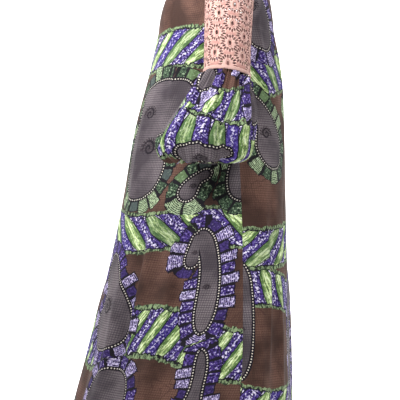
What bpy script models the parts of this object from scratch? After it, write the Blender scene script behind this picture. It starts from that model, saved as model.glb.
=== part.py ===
"""Kaba dress: an ankle-length A-line dress of wax print, with lace upper sleeves and balloon lower sleeves.

Metres, +Z up. The origin is the middle of the neck opening, level with the inside of the shoulder seams.
The dress faces -Y, and the wearer's left is +X. The hem is 1.35 m below the shoulders.
"""

import math

import bmesh
import bpy
import numpy as np
from mathutils import Vector
from mathutils.geometry import delaunay_2d_cdt

# Walls of the cloth, and the gap at each seam
PRINT_WALL = 0.0016
LACE_WALL = 0.0018
PUFF_WALL = 0.0020
CUFF_WALL = 0.0022
SEAM_GAP = 0.0003

# Front and back panels
FRONT = -1
BACK = 1
HEM_Z = -1.35
UNDERARM_Z = -0.23
PANEL_COLUMNS = 36
YOKE_ROWS = 8
SKIRT_ROWS = 10
RING_POWER = 0.87

# Outer face of the two panels below the underarm
SKIRT_COLUMNS = ("z", "half_width", "front_y", "back_y", "seam_y")
SKIRT = (
    (-0.230, 0.215, -0.179, 0.131, 0.012),
    (-0.340, 0.232, -0.204, 0.149, 0.018),
    (-0.480, 0.255, -0.240, 0.158, 0.026),
    (-0.680, 0.288, -0.275, 0.162, 0.036),
    (-0.815, 0.310, -0.302, 0.165, 0.039),
    (-0.950, 0.333, -0.333, 0.169, 0.039),
    (-1.085, 0.356, -0.364, 0.172, 0.036),
    (-1.220, 0.380, -0.402, 0.176, 0.026),
    (-1.350, 0.405, -0.440, 0.179, 0.018),
)

# Neck, shoulders and armholes
SHOULDER_TOP_Z = PRINT_WALL + 0.0005
NECK_HALF_WIDTH = 0.088
NECK_SHARE = 0.42
NECK_REACH = {FRONT: 0.108, BACK: 0.062}
NECK_DROP = {FRONT: 0.088, BACK: 0.024}
NECK_ROUNDNESS = {FRONT: 0.85, BACK: 0.80}
SHOULDER_HALF_WIDTH = 0.195
SHOULDER_Z = -0.034
SHOULDER_Y = 0.010
SHOULDER_ROUNDNESS = 0.65
ARMHOLE_REACH = {FRONT: 0.065, BACK: 0.062}
ARMHOLE_INSET = 0.025

# Soft folds that run down the skirt and deepen to the hem
# Columns: degrees from the panel's middle, half width in degrees, how far out at the hem, starting height
FOLDS = {
    FRONT: (
        (77.0, 8.0, 0.007, -0.55),
        (67.0, 8.0, -0.009, -0.62),
        (55.0, 9.0, 0.010, -0.42),
        (43.0, 8.0, -0.012, -0.50),
        (29.0, 10.0, 0.009, -0.60),
        (15.0, 8.0, -0.011, -0.75),
        (-11.0, 9.0, -0.012, -0.58),
        (-25.0, 9.0, 0.010, -0.66),
        (-40.0, 9.0, -0.010, -0.48),
        (-53.0, 8.0, 0.009, -0.70),
        (-68.0, 9.0, -0.010, -0.52),
        (-79.0, 7.0, 0.006, -0.74),
    ),
    BACK: (
        (72.0, 10.0, 0.007, -0.50),
        (55.0, 10.0, -0.009, -0.44),
        (36.0, 11.0, 0.007, -0.60),
        (17.0, 10.0, -0.008, -0.72),
        (-14.0, 11.0, -0.009, -0.56),
        (-33.0, 10.0, 0.007, -0.68),
        (-52.0, 10.0, -0.008, -0.46),
        (-71.0, 10.0, 0.007, -0.62),
    ),
}

# Lace upper sleeve: its lower edge at the elbow, and the slope of that edge outward and backward
ELBOW = (0.306, 0.000, -0.368)
ELBOW_HALF_X = 0.055
ELBOW_HALF_Y = 0.058
ELBOW_RISE_OUT = 0.25
ELBOW_DROP_BACK = 0.12
ARM_LEAN = 0.22
CAP_START_TOP = 0.13
CAP_START_UNDER = 0.05
ARC_STEPS = 48

# Eyelets of the lace: the open middles of its medallions, in columns set half a step apart
LACE_RADIUS = 0.060
EYELET_COLUMNS = 10
EYELET_STEP = 0.0545
EYELET_FIRST = 0.011
EYELET_LEAN = 0.095
EYELET_SEAM = 0.0055
EYELET_HALF_WIDTH = 0.0025
EYELET_HALF_HEIGHT = 0.0050
EYELET_SIDES = 8
EYELET_EDGE = 0.013
LACE_GRID = 0.023
LACE_EDGE_STEPS = 2 * YOKE_ROWS
LACE_GRID_CLEAR = 0.009

# Balloon lower sleeve, from the elbow seam to the wrist band
GATHERS = 28
GATHER_UNEVENNESS = 0.3
BROAD_FOLDS = 7
PUFF_POWER = 0.92
PUFF_COLUMNS = ("z", "front_y", "back_y", "inner_x", "outer_x", "gather", "broad", "tilt")
PUFF = (
    (-0.3683, -0.0580, 0.0580, 0.251, 0.361, 0.0028, 0.0000, 1.0),
    (-0.3800, -0.0650, 0.0590, 0.251, 0.371, 0.0034, 0.0000, 0.9),
    (-0.4000, -0.0800, 0.0600, 0.254, 0.384, 0.0036, 0.0015, 0.6),
    (-0.4280, -0.1030, 0.0645, 0.259, 0.397, 0.0028, 0.0035, 0.3),
    (-0.4600, -0.1270, 0.0690, 0.267, 0.408, 0.0020, 0.0050, 0.0),
    (-0.4980, -0.1530, 0.0680, 0.277, 0.416, 0.0016, 0.0060, 0.0),
    (-0.5310, -0.1720, 0.0640, 0.284, 0.418, 0.0016, 0.0060, 0.0),
    (-0.5580, -0.1710, 0.0600, 0.288, 0.414, 0.0020, 0.0050, 0.0),
    (-0.5780, -0.1620, 0.0500, 0.289, 0.407, 0.0026, 0.0030, 0.0),
    (-0.5880, -0.1480, 0.0200, 0.291, 0.394, 0.0026, 0.0010, 0.0),
    (-0.5860, -0.1360, -0.0250, 0.297, 0.378, 0.0020, 0.0000, 0.0),
    (-0.5750, -0.1218, -0.0552, 0.3057, 0.3643, 0.0012, 0.0000, 0.0),
)

# Wrist band
WRIST = (0.335, -0.0885)
CUFF_HALF_X = 0.0290
CUFF_HALF_Y = 0.0330
CUFF_TOP_Z = -0.568
CUFF_HEIGHT = 0.014
CUFF_SIDES = 24

# Base colours from the photo, linear
PRINT_COLOUR = (0.105, 0.078, 0.098, 1.0)
LACE_COLOUR = (0.700, 0.400, 0.370, 1.0)


def clear_scene():
    for thing in list(bpy.data.objects):
        bpy.data.objects.remove(thing, do_unlink=True)


def mix(start, end, share):
    return start + (end - start) * share


def unit(vector):
    return vector / np.linalg.norm(vector)


def on_curve(table, names, name, z):
    """Value of one column of a table at a height, on a smooth curve through its rows."""
    rows = np.array(table[::-1])
    heights = rows[:, names.index("z")]
    values = rows[:, names.index(name)]
    slopes = np.gradient(values, heights)
    low = int(np.clip(np.searchsorted(heights, z) - 1, 0, len(heights) - 2))
    step = heights[low + 1] - heights[low]
    t = (z - heights[low]) / step
    start = values[low] * (1 + 2 * t) * (1 - t) ** 2 + slopes[low] * step * t * (1 - t) ** 2
    end = values[low + 1] * t * t * (3 - 2 * t) - slopes[low + 1] * step * t * t * (1 - t)
    return start + end


def fold_depth(side, across, z):
    """How far the folds push a panel out at a place, negative in a trough."""
    depth = 0.0
    for angle, half_width, out, start_z in FOLDS[side]:
        away = (across * 90.0 - angle) / half_width
        if abs(away) < 1 and z < start_z:
            growth = (start_z - z) / (start_z - HEM_Z)
            depth += out * growth * math.cos(away * math.pi / 2) ** 2
    return depth


def skirt_point(side, across, z):
    """Outer face of a panel below the underarm; across is -1 at the right seam and 1 at the left seam."""
    half_width = on_curve(SKIRT, SKIRT_COLUMNS, "half_width", z)
    seam_y = on_curve(SKIRT, SKIRT_COLUMNS, "seam_y", z)
    middle_y = on_curve(SKIRT, SKIRT_COLUMNS, "front_y" if side == FRONT else "back_y", z)
    reach = abs(middle_y - seam_y)
    sine = math.sin(across * math.pi / 2)
    cosine = max(math.cos(across * math.pi / 2), 0.0)
    x = half_width * math.copysign(abs(sine) ** RING_POWER, sine)
    y = seam_y + side * reach * cosine**RING_POWER
    outward = unit(np.array((sine / half_width, side * cosine / reach, 0.0)))
    return np.array((x, y, z)) + outward * fold_depth(side, across, z)


def top_edge(side, across):
    """The shoulder seam at both ends and the neck curve between them."""
    part = abs(across)
    if part >= NECK_SHARE:
        share = (part - NECK_SHARE) / (1 - NECK_SHARE)
        x = mix(NECK_HALF_WIDTH, SHOULDER_HALF_WIDTH, share)
        y = SHOULDER_Y * share
        z = mix(SHOULDER_TOP_Z, SHOULDER_Z, share)
    else:
        turn = part / NECK_SHARE * math.pi / 2
        x = NECK_HALF_WIDTH * math.sin(turn)
        y = side * NECK_REACH[side] * math.cos(turn)
        z = SHOULDER_TOP_Z - NECK_DROP[side] * math.cos(turn) ** 1.5
    return np.array((math.copysign(x, across), y, z))


def yoke_point(side, across, down):
    """Outer face of a panel from its top edge, down 0, to the underarm, down 1; across 1 is the armhole."""
    top = top_edge(side, across)
    low = skirt_point(side, across, UNDERARM_Z)
    near_side = across * across
    roundness = mix(NECK_ROUNDNESS[side], SHOULDER_ROUNDNESS, min(1.0, abs(across) / NECK_SHARE))
    forward = mix(down, math.sin(down * math.pi / 2), roundness)
    middle_fall = mix(down, 1 - math.cos(down * math.pi / 2), roundness)
    armhole_fall = (1 - math.cos(down * math.pi)) / 2
    fall = mix(middle_fall, armhole_fall, near_side)
    x = mix(top[0], low[0], fall)
    x -= math.copysign(ARMHOLE_INSET * near_side * math.sin(fall * math.pi), across)
    y = mix(top[1], low[1], forward)
    y += side * ARMHOLE_REACH[side] * near_side * math.sin(down * math.pi)
    z = mix(top[2], low[2], fall)
    return np.array((x, y, z))


def grid_normals(points, wraps):
    """Unit normal at each point of a grid, the mean of the faces round it."""
    rows, columns = points.shape[:2]
    normals = np.zeros_like(points)
    last = columns if wraps else columns - 1
    for row in range(rows - 1):
        for column in range(last):
            corners = ((row, column), (row, (column + 1) % columns),
                       (row + 1, (column + 1) % columns), (row + 1, column))
            a, b, c, d = (points[corner] for corner in corners)
            face = np.cross(c - a, d - b)
            for corner in corners:
                normals[corner] += face
    return normals / np.linalg.norm(normals, axis=2, keepdims=True)


def grid_body(name, outer, inner, wraps, material):
    """One closed wall between two grids of points."""
    rows, columns = outer.shape[:2]
    mesh = bmesh.new()
    skins = [[[mesh.verts.new(point) for point in row] for row in skin] for skin in (outer, inner)]
    last = columns if wraps else columns - 1
    for skin in skins:
        for row in range(rows - 1):
            for column in range(last):
                after = (column + 1) % columns
                mesh.faces.new((skin[row][column], skin[row][after],
                                skin[row + 1][after], skin[row + 1][column]))
    outside, inside = skins
    for row in (0, rows - 1):
        for column in range(last):
            after = (column + 1) % columns
            mesh.faces.new((outside[row][column], outside[row][after],
                            inside[row][after], inside[row][column]))
    if not wraps:
        for column in (0, columns - 1):
            for row in range(rows - 1):
                mesh.faces.new((outside[row][column], outside[row + 1][column],
                                inside[row + 1][column], inside[row][column]))
    return finish_body(name, mesh, material)


def finish_body(name, mesh, material):
    bmesh.ops.recalc_face_normals(mesh, faces=mesh.faces)
    bmesh.ops.triangulate(mesh, faces=mesh.faces)
    if mesh.calc_volume(signed=True) < 0:
        bmesh.ops.reverse_faces(mesh, faces=mesh.faces)
    data = bpy.data.meshes.new(name)
    mesh.to_mesh(data)
    mesh.free()
    data.shade_smooth()
    data.set_sharp_from_angle(angle=math.radians(50))
    data.materials.append(material)
    body = bpy.data.objects.new(name, data)
    bpy.context.scene.collection.objects.link(body)
    return body


def cloth_material(name, colour, roughness):
    material = bpy.data.materials.new(name)
    material.use_nodes = True
    shader = material.node_tree.nodes["Principled BSDF"]
    shader.inputs["Base Color"].default_value = colour
    shader.inputs["Roughness"].default_value = roughness
    shader.inputs["Metallic"].default_value = 0.0
    return material


def build_panel(name, side):
    """Front or back panel, from the neck and shoulders to the hem."""
    acrosses = np.linspace(-1, 1, PANEL_COLUMNS + 1)
    downs = np.linspace(0, 1, YOKE_ROWS + 1)
    yoke = [[yoke_point(side, across, down) for across in acrosses] for down in downs]
    heights = np.linspace(UNDERARM_Z, HEM_Z, SKIRT_ROWS + 1)[1:]
    skirt = [[skirt_point(side, across, z) for across in acrosses] for z in heights]
    outer = np.array(yoke + skirt)
    outer[:, :, 1] += side * SEAM_GAP / 2
    normals = grid_normals(outer, wraps=False) * side
    on_shoulder = np.abs(acrosses) >= NECK_SHARE
    normals[0, on_shoulder, 1] = 0.0
    normals[YOKE_ROWS:, 0, 1] = 0.0
    normals[YOKE_ROWS:, -1, 1] = 0.0
    normals /= np.linalg.norm(normals, axis=2, keepdims=True)
    inner = outer - normals * PRINT_WALL
    return grid_body(name, outer, inner, False, cloth_material(name, PRINT_COLOUR, 0.75))


def armhole_point(turn):
    """The armhole's edge, straight between the panel's rows; turn is 0 on the shoulder and grows forward."""
    turn = turn % (2 * math.pi)
    side = FRONT if turn <= math.pi else BACK
    rows = min(turn, 2 * math.pi - turn) / math.pi * YOKE_ROWS
    row = min(int(rows), YOKE_ROWS - 1)
    above = yoke_point(side, 1.0, row / YOKE_ROWS)
    below = yoke_point(side, 1.0, (row + 1) / YOKE_ROWS)
    return mix(above, below, rows - row)


def elbow_point(turn):
    """Lower edge of the lace, a ring that rises outward and falls backward."""
    x = ELBOW_HALF_X * math.cos(turn)
    y = -ELBOW_HALF_Y * math.sin(turn)
    return np.array(ELBOW) + np.array((x, y, ELBOW_RISE_OUT * x - ELBOW_DROP_BACK * y))


def sleeve_column(turn):
    """One line down the lace sleeve from the armhole to the elbow, and how long it is at each step."""
    start = armhole_point(turn) + np.array((SEAM_GAP, 0.0, 0.0))
    end = elbow_point(turn)
    span = np.linalg.norm(end - start)
    leave = np.array((mix(CAP_START_UNDER, CAP_START_TOP, (1 + math.cos(turn)) / 2), 0.0, 0.0))
    arrive = span * np.array((ARM_LEAN, 0.0, -1.0))
    steps = np.linspace(0, 1, ARC_STEPS + 1)[:, None]
    points = start * (1 + 2 * steps) * (1 - steps) ** 2 + leave * steps * (1 - steps) ** 2
    points = points + end * steps**2 * (3 - 2 * steps) - arrive * steps**2 * (1 - steps)
    lengths = np.concatenate(((0.0,), np.cumsum(np.linalg.norm(np.diff(points, axis=0), axis=1))))
    return points, lengths


def lace_point(turn, rise):
    """A place on the lace by its turn round the arm and its height above the lower edge, along the cloth."""
    points, lengths = sleeve_column(turn)
    place = lengths[-1] - rise
    return np.array([np.interp(place, lengths, points[:, axis]) for axis in range(3)])


def lace_frame(turn, rise, tallest):
    """A point of the lace and its outward normal."""
    nudge = 0.002
    low = max(rise - nudge, 0.0)
    high = min(rise + nudge, tallest)
    up = lace_point(turn, high) - lace_point(turn, low)
    turn_step = nudge / LACE_RADIUS
    share_low = rise / tallest
    ahead = lace_point(turn + turn_step, share_low * sleeve_column(turn + turn_step)[1][-1])
    behind = lace_point(turn - turn_step, share_low * sleeve_column(turn - turn_step)[1][-1])
    normal = unit(np.cross(up, ahead - behind))
    return lace_point(turn, rise), normal


def eyelets(turn_low, turn_high):
    """Middles of the eyelets that clear both seams, as distance round and height up, in leaning columns."""
    found = []
    low = turn_low * LACE_RADIUS + EYELET_SEAM
    high = turn_high * LACE_RADIUS - EYELET_SEAM
    for column in range(-EYELET_COLUMNS, 2 * EYELET_COLUMNS):
        foot = column * 2 * math.pi / EYELET_COLUMNS * LACE_RADIUS
        rise = EYELET_FIRST + (column % 2) * EYELET_STEP / 2
        for _ in range(EYELET_COLUMNS):
            s = foot - EYELET_LEAN * rise
            if low < s < high and rise < sleeve_column(s / LACE_RADIUS)[1][-1] - EYELET_EDGE:
                found.append((s, rise))
            rise += EYELET_STEP
    return found


def lace_outline(turn_low, turn_high):
    """Edge of one lace piece on its flat pattern: lower edge, far side, cap, near side."""
    turns = np.linspace(turn_low, turn_high, LACE_EDGE_STEPS + 1)
    tops = [sleeve_column(turn)[1][-1] for turn in turns]
    outline = [(turn * LACE_RADIUS, 0.0) for turn in turns]
    for turn, tallest, upward in ((turn_high, tops[-1], True), (turn_low, tops[0], False)):
        rises = np.linspace(0, tallest, round(tallest / LACE_GRID) + 1)[1:-1]
        side = [(turn * LACE_RADIUS, rise) for rise in rises]
        if upward:
            outline += side + [(t * LACE_RADIUS, top) for t, top in zip(turns[::-1], tops[::-1])]
        else:
            outline += side[::-1]
    return outline


def build_lace(name, turn_low, turn_high):
    """Half of a lace sleeve, with its eyelets cut through."""
    middles = eyelets(turn_low, turn_high)
    outline = lace_outline(turn_low, turn_high)
    angles = (np.arange(EYELET_SIDES) + 0.5) * 2 * math.pi / EYELET_SIDES
    oval = [(EYELET_HALF_WIDTH * math.cos(a), EYELET_HALF_HEIGHT * math.sin(a)) for a in angles]
    holes = [[(s + x, rise + y) for x, y in oval] for s, rise in middles]
    flat = [Vector(point) for point in outline]
    edges = [(i, (i + 1) % len(outline)) for i in range(len(outline))]
    for hole in holes:
        first = len(flat)
        flat += [Vector(point) for point in hole]
        edges += [(first + i, first + (i + 1) % len(hole)) for i in range(len(hole))]
    flat += [Vector(point) for point in lace_grid(turn_low, turn_high, middles)]
    points, _, triangles, *_ = delaunay_2d_cdt(flat, edges, [], 0, 1e-7)
    kept = [t for t in triangles if in_cloth(sum((points[i] for i in t), Vector((0, 0))) / 3, middles)]
    return lace_body(name, points, kept)


def lace_grid(turn_low, turn_high, middles):
    """Points spread over the cloth between the eyelets."""
    spots = []
    for row in range(1, 40):
        rise = row * LACE_GRID * 0.87
        offset = LACE_GRID / 2 * (row % 2)
        s = turn_low * LACE_RADIUS + LACE_GRID_CLEAR + offset
        while s < turn_high * LACE_RADIUS - LACE_GRID_CLEAR:
            tallest = sleeve_column(s / LACE_RADIUS)[1][-1]
            clear = all(math.hypot(s - m[0], rise - m[1]) > LACE_GRID_CLEAR for m in middles)
            if clear and rise < tallest - LACE_GRID_CLEAR:
                spots.append((s, rise))
            s += LACE_GRID
    return spots


def in_cloth(spot, middles):
    """False inside an eyelet or above the cap."""
    for middle_s, middle_rise in middles:
        wide = (spot[0] - middle_s) / EYELET_HALF_WIDTH
        tall = (spot[1] - middle_rise) / EYELET_HALF_HEIGHT
        if wide * wide + tall * tall < 0.8:
            return False
    return spot[1] < sleeve_column(spot[0] / LACE_RADIUS)[1][-1]


def lace_body(name, points, triangles):
    """The wall over a flat pattern of triangles, wrapped round the arm."""
    mesh = bmesh.new()
    outer = []
    inner = []
    for s, rise in points:
        turn = s / LACE_RADIUS
        tallest = sleeve_column(turn)[1][-1]
        place, normal = lace_frame(turn, min(rise, tallest), tallest)
        outer.append(mesh.verts.new(place))
        inner.append(mesh.verts.new(place - normal * LACE_WALL))
    uses = {}
    for a, b, c in triangles:
        mesh.faces.new((outer[a], outer[b], outer[c]))
        mesh.faces.new((inner[c], inner[b], inner[a]))
        for edge in ((a, b), (b, c), (c, a)):
            uses.setdefault(frozenset(edge), []).append(edge)
    for sharing in uses.values():
        if len(sharing) == 1:
            a, b = sharing[0]
            mesh.faces.new((outer[b], outer[a], inner[a], inner[b]))
    loose = [vert for vert in mesh.verts if not vert.link_faces]
    bmesh.ops.delete(mesh, geom=loose, context="VERTS")
    return finish_body(name, mesh, cloth_material(name, LACE_COLOUR, 0.85))


def puff_base(row, turn):
    """The balloon sleeve at one row of its table, without its gathers."""
    cosine = math.cos(turn)
    sine = math.sin(turn)
    power = mix(PUFF_POWER, 1.0, row["tilt"])
    x = (row["outer_x"] - row["inner_x"]) / 2 * math.copysign(abs(cosine) ** power, cosine)
    y = (row["front_y"] - row["back_y"]) / 2 * math.copysign(abs(sine) ** power, sine)
    z = row["z"] + row["tilt"] * (ELBOW_RISE_OUT * x - ELBOW_DROP_BACK * y)
    middle_x = (row["inner_x"] + row["outer_x"]) / 2
    middle_y = (row["front_y"] + row["back_y"]) / 2
    return np.array((middle_x + x, middle_y + y, z))


def build_puff(name):
    """The balloon sleeve, gathered all round at the elbow and at the wrist."""
    columns = 2 * GATHERS
    turns = np.arange(columns) * 2 * math.pi / columns
    table = [dict(zip(PUFF_COLUMNS, row)) for row in PUFF]
    base = np.array([[puff_base(row, turn) for turn in turns] for row in table])
    normals = grid_normals(base, wraps=True)
    slope = np.array((-ELBOW_RISE_OUT, ELBOW_DROP_BACK, 1.0))
    slope /= np.linalg.norm(slope)
    flat = normals[0] - np.outer(normals[0] @ slope, slope)
    normals[0] = flat / np.linalg.norm(flat, axis=1, keepdims=True)
    normals[-1] = (0.0, 0.0, -1.0)
    push = np.zeros((len(PUFF), columns))
    for index, row in enumerate(table):
        for column, turn in enumerate(turns):
            uneven = 1 + GATHER_UNEVENNESS * math.sin(2.3 * (column // 2) + 0.4 * index)
            ridge = 1 if column % 2 else -1
            broad = row["broad"] * math.sin(BROAD_FOLDS * turn + 0.25 * index)
            push[index, column] = ridge * row["gather"] * uneven + broad
    outer = base + normals * push[:, :, None]
    inner = outer - normals * PUFF_WALL
    return grid_body(name, outer, inner, True, cloth_material(name, PRINT_COLOUR, 0.75))


def build_cuff(name):
    """The narrow band that draws the balloon in at the wrist."""
    turns = np.arange(CUFF_SIDES) * 2 * math.pi / CUFF_SIDES
    skins = []
    for inset in (SEAM_GAP, SEAM_GAP + CUFF_WALL):
        xs = WRIST[0] + (CUFF_HALF_X - inset) * np.cos(turns)
        ys = WRIST[1] - (CUFF_HALF_Y - inset) * np.sin(turns)
        rims = (CUFF_TOP_Z, CUFF_TOP_Z - CUFF_HEIGHT)
        skins.append(np.array([np.column_stack((xs, ys, np.full(CUFF_SIDES, z))) for z in rims]))
    return grid_body(name, skins[0], skins[1], True, cloth_material(name, PRINT_COLOUR, 0.75))


def mirror_body(body, name):
    """The same piece for the wearer's right side."""
    mesh = bmesh.new()
    mesh.from_mesh(body.data)
    for vert in mesh.verts:
        vert.co.x = -vert.co.x
    colour = body.data.materials[0].node_tree.nodes["Principled BSDF"].inputs["Base Color"].default_value
    return finish_body(name, mesh, cloth_material(name, tuple(colour), 0.8))


def build_sleeves():
    """Left sleeve pieces, each with its mirrored right one."""
    half_gap = SEAM_GAP / 2 / LACE_RADIUS
    front_line = math.pi / 2
    back_line = -math.pi / 2
    outer = build_lace("lace_sleeve_left_outer", back_line + half_gap, front_line - half_gap)
    inner = build_lace("lace_sleeve_left_inner", front_line + half_gap, back_line + 2 * math.pi - half_gap)
    for body in (outer, inner, build_puff("puff_sleeve_left"), build_cuff("cuff_left")):
        mirror_body(body, body.name.replace("left", "right"))


clear_scene()
build_panel("front_panel", FRONT)
build_panel("back_panel", BACK)
build_sleeves()
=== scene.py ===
import math

import bpy
import numpy as np
from mathutils import Matrix, Vector
from mathutils.geometry import delaunay_2d_cdt


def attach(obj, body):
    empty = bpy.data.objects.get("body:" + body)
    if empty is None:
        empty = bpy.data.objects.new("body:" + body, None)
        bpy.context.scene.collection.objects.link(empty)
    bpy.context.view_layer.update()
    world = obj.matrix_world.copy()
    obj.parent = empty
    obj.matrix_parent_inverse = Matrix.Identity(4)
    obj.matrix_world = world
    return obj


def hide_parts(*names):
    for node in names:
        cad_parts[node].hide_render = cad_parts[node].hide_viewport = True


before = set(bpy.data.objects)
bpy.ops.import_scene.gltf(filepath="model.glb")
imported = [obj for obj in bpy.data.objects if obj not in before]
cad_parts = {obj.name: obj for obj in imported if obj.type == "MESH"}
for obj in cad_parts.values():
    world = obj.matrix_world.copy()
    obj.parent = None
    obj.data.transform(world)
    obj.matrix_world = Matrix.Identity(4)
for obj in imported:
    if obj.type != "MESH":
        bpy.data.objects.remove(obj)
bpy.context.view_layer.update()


# Camera. The dress is seen level from its left side, from 4 m away with a long lens.
# The picture is 1.08 m across at the middle of the dress, so the neck and the hem lie outside it.
side_view = bpy.data.cameras.new("side_view")
side_view.lens = 133.33
side_view.sensor_width = 36.0
camera = bpy.data.objects.new("side_view", side_view)
camera.location = (4.0, -0.0675, -0.68)
camera.rotation_euler = (math.radians(90), 0.0, math.radians(90))
bpy.context.scene.collection.objects.link(camera)
bpy.context.scene.camera = camera


# Front and back panels. Wax-printed cotton, cut as two A-line panels from neck to hem and sewn together
# at the shoulders and down both sides. They hang from the shoulders and stand out at the hem in soft folds.
FRONT, BACK = -1, 1
HEM_Z = -1.35
UNDERARM_Z = -0.23
COTTON_THICKNESS = 0.0010
YOKE_ROWS = 40
SKIRT_ROWS = 170
PANEL_COLUMNS = 150
HEM_TURNING = 0.022
NECK_TURNING = 0.010
TURNING_ROWS = 4
SEAM_DIP = 0.0016
SEAM_DIP_WIDTH = 0.0040
RING_POWER = 0.87
EDGE_COLUMNS = (1.0, 0.9985, 0.9965, 0.9935)
TURNING_DEPTH = 2.3 * COTTON_THICKNESS
CREASE_WANDER = 0.8
CREASE_SHARPNESS = 1.6
SETTLE_ROOM = 0.03

# Columns: z, half width, front y, back y, y of the side seam
SKIRT = (
    (-0.230, 0.215, -0.179, 0.131, 0.012),
    (-0.340, 0.232, -0.204, 0.149, 0.018),
    (-0.480, 0.255, -0.240, 0.158, 0.026),
    (-0.680, 0.288, -0.275, 0.162, 0.036),
    (-0.815, 0.310, -0.302, 0.165, 0.039),
    (-0.950, 0.333, -0.333, 0.169, 0.039),
    (-1.085, 0.356, -0.364, 0.172, 0.036),
    (-1.220, 0.380, -0.402, 0.176, 0.026),
    (-1.350, 0.405, -0.440, 0.179, 0.018),
)

SHOULDER_TOP_Z = 0.0021
NECK_HALF_WIDTH = 0.088
NECK_SHARE = 0.42
NECK_REACH = {FRONT: 0.108, BACK: 0.062}
NECK_DROP = {FRONT: 0.088, BACK: 0.024}
NECK_ROUNDNESS = {FRONT: 0.85, BACK: 0.80}
SHOULDER_HALF_WIDTH = 0.195
SHOULDER_Z = -0.034
SHOULDER_Y = 0.010
SHOULDER_ROUNDNESS = 0.65
ARMHOLE_REACH = {FRONT: 0.065, BACK: 0.062}
ARMHOLE_INSET = 0.025
NECK_CURVE = 1.5

# Folds that run to the hem
# Columns: degrees from the panel's middle, half width in degrees, how far out at the hem, starting height
FOLDS = {
    FRONT: (
        (77.0, 8.0, 0.007, -0.55),
        (67.0, 8.0, -0.009, -0.62),
        (55.0, 9.0, 0.010, -0.42),
        (43.0, 8.0, -0.012, -0.50),
        (29.0, 10.0, 0.009, -0.60),
        (15.0, 8.0, -0.011, -0.75),
        (-11.0, 9.0, -0.012, -0.58),
        (-25.0, 9.0, 0.010, -0.66),
        (-40.0, 9.0, -0.010, -0.48),
        (-53.0, 8.0, 0.009, -0.70),
        (-68.0, 9.0, -0.010, -0.52),
        (-79.0, 7.0, 0.006, -0.74),
    ),
    BACK: (
        (72.0, 10.0, 0.007, -0.50),
        (55.0, 10.0, -0.009, -0.44),
        (36.0, 11.0, 0.007, -0.60),
        (17.0, 10.0, -0.008, -0.72),
        (-14.0, 11.0, -0.009, -0.56),
        (-33.0, 10.0, 0.007, -0.68),
        (-52.0, 10.0, -0.008, -0.46),
        (-71.0, 10.0, 0.007, -0.62),
    ),
}

# Shorter creases, troughs where the depth is negative
# Columns: degrees from the panel's middle, half width in degrees, depth, top z, bottom z, lean in degrees a metre
CREASES = {
    FRONT: (
        (84.0, 3.2, -0.0080, -0.76, -1.34, 2.0),
        (62.0, 4.0, -0.0125, -0.79, -1.20, -6.0),
        (66.5, 3.0, 0.0048, -0.80, -1.10, -6.0),
        (50.0, 4.8, -0.0155, -0.74, -1.12, -8.0),
        (44.0, 3.6, 0.0085, -0.78, -1.20, -8.0),
        (35.0, 4.2, -0.0120, -0.84, -1.33, -4.0),
        (26.0, 4.5, -0.0064, -0.42, -0.82, 5.0),
        (9.0, 3.5, 0.0048, -0.30, -0.70, 4.0),
        (70.0, 4.5, -0.0072, -0.24, -0.47, -30.0),
        (58.0, 4.0, -0.0056, -0.22, -0.52, -35.0),
        (2.0, 4.0, -0.0072, -0.90, -1.33, 0.0),
        (-18.0, 4.0, -0.0088, -0.74, -1.22, 5.0),
        (-31.0, 3.5, 0.0056, -0.80, -1.30, 4.0),
        (-46.0, 3.8, -0.0096, -0.82, -1.18, 7.0),
        (-60.0, 3.6, -0.0080, -0.70, -1.10, 8.0),
        (-74.0, 3.4, -0.0072, -0.86, -1.33, 3.0),
        (-66.0, 4.4, -0.0064, -0.24, -0.50, 30.0),
        (-12.0, 4.0, -0.0048, -0.34, -0.76, -4.0),
    ),
    BACK: (
        (83.0, 3.4, -0.0056, -0.80, -1.33, 2.0),
        (64.0, 4.0, -0.0080, -0.72, -1.12, -5.0),
        (46.0, 4.4, -0.0072, -0.84, -1.33, -4.0),
        (27.0, 4.0, 0.0056, -0.66, -1.10, 3.0),
        (60.0, 5.0, -0.0064, -0.20, -0.44, -28.0),
        (20.0, 5.0, -0.0048, -0.22, -0.60, 6.0),
        (2.0, 4.5, -0.0080, -0.86, -1.33, 0.0),
        (-24.0, 4.5, -0.0072, -0.78, -1.24, 4.0),
        (-42.0, 4.0, -0.0080, -0.84, -1.33, 5.0),
        (-62.0, 4.0, -0.0072, -0.70, -1.14, 6.0),
        (-58.0, 5.0, -0.0064, -0.20, -0.46, 26.0),
    ),
}


def unit(vectors):
    """The same directions, each of length 1."""
    return vectors / np.maximum(np.linalg.norm(vectors, axis=-1, keepdims=True), 1e-12)


def smooth_curve(start, leave, end, arrive, t):
    """Places from start to end that set out along one direction and come in along another."""
    first = start * (1 + 2 * t) * (1 - t) ** 2 + leave * t * (1 - t) ** 2
    return first + end * t * t * (3 - 2 * t) - arrive * t * t * (1 - t)


def through_rows(table, column, z):
    """One column of a table at each height, on a smooth curve through its rows."""
    rows = np.array(table)[::-1]
    known = rows[:, 0]
    values = rows[:, column]
    slopes = np.gradient(values, known)
    low = np.clip(np.searchsorted(known, z) - 1, 0, len(known) - 2)
    step = known[low + 1] - known[low]
    t = (z - known[low]) / step
    return smooth_curve(values[low], slopes[low] * step, values[low + 1], slopes[low + 1] * step, t)


def hem_folds(side, across, z):
    """How far the long folds stand out, growing from where each starts down to the hem."""
    depth = np.zeros(np.broadcast(across, z).shape)
    for angle, half_width, out, start_z in FOLDS[side]:
        away = np.clip((across * 90.0 - angle) / half_width, -1, 1)
        growth = np.clip((start_z - z) / (start_z - HEM_Z), 0, None)
        depth += out * growth * np.cos(away * math.pi / 2) ** 2
    return depth


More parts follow.
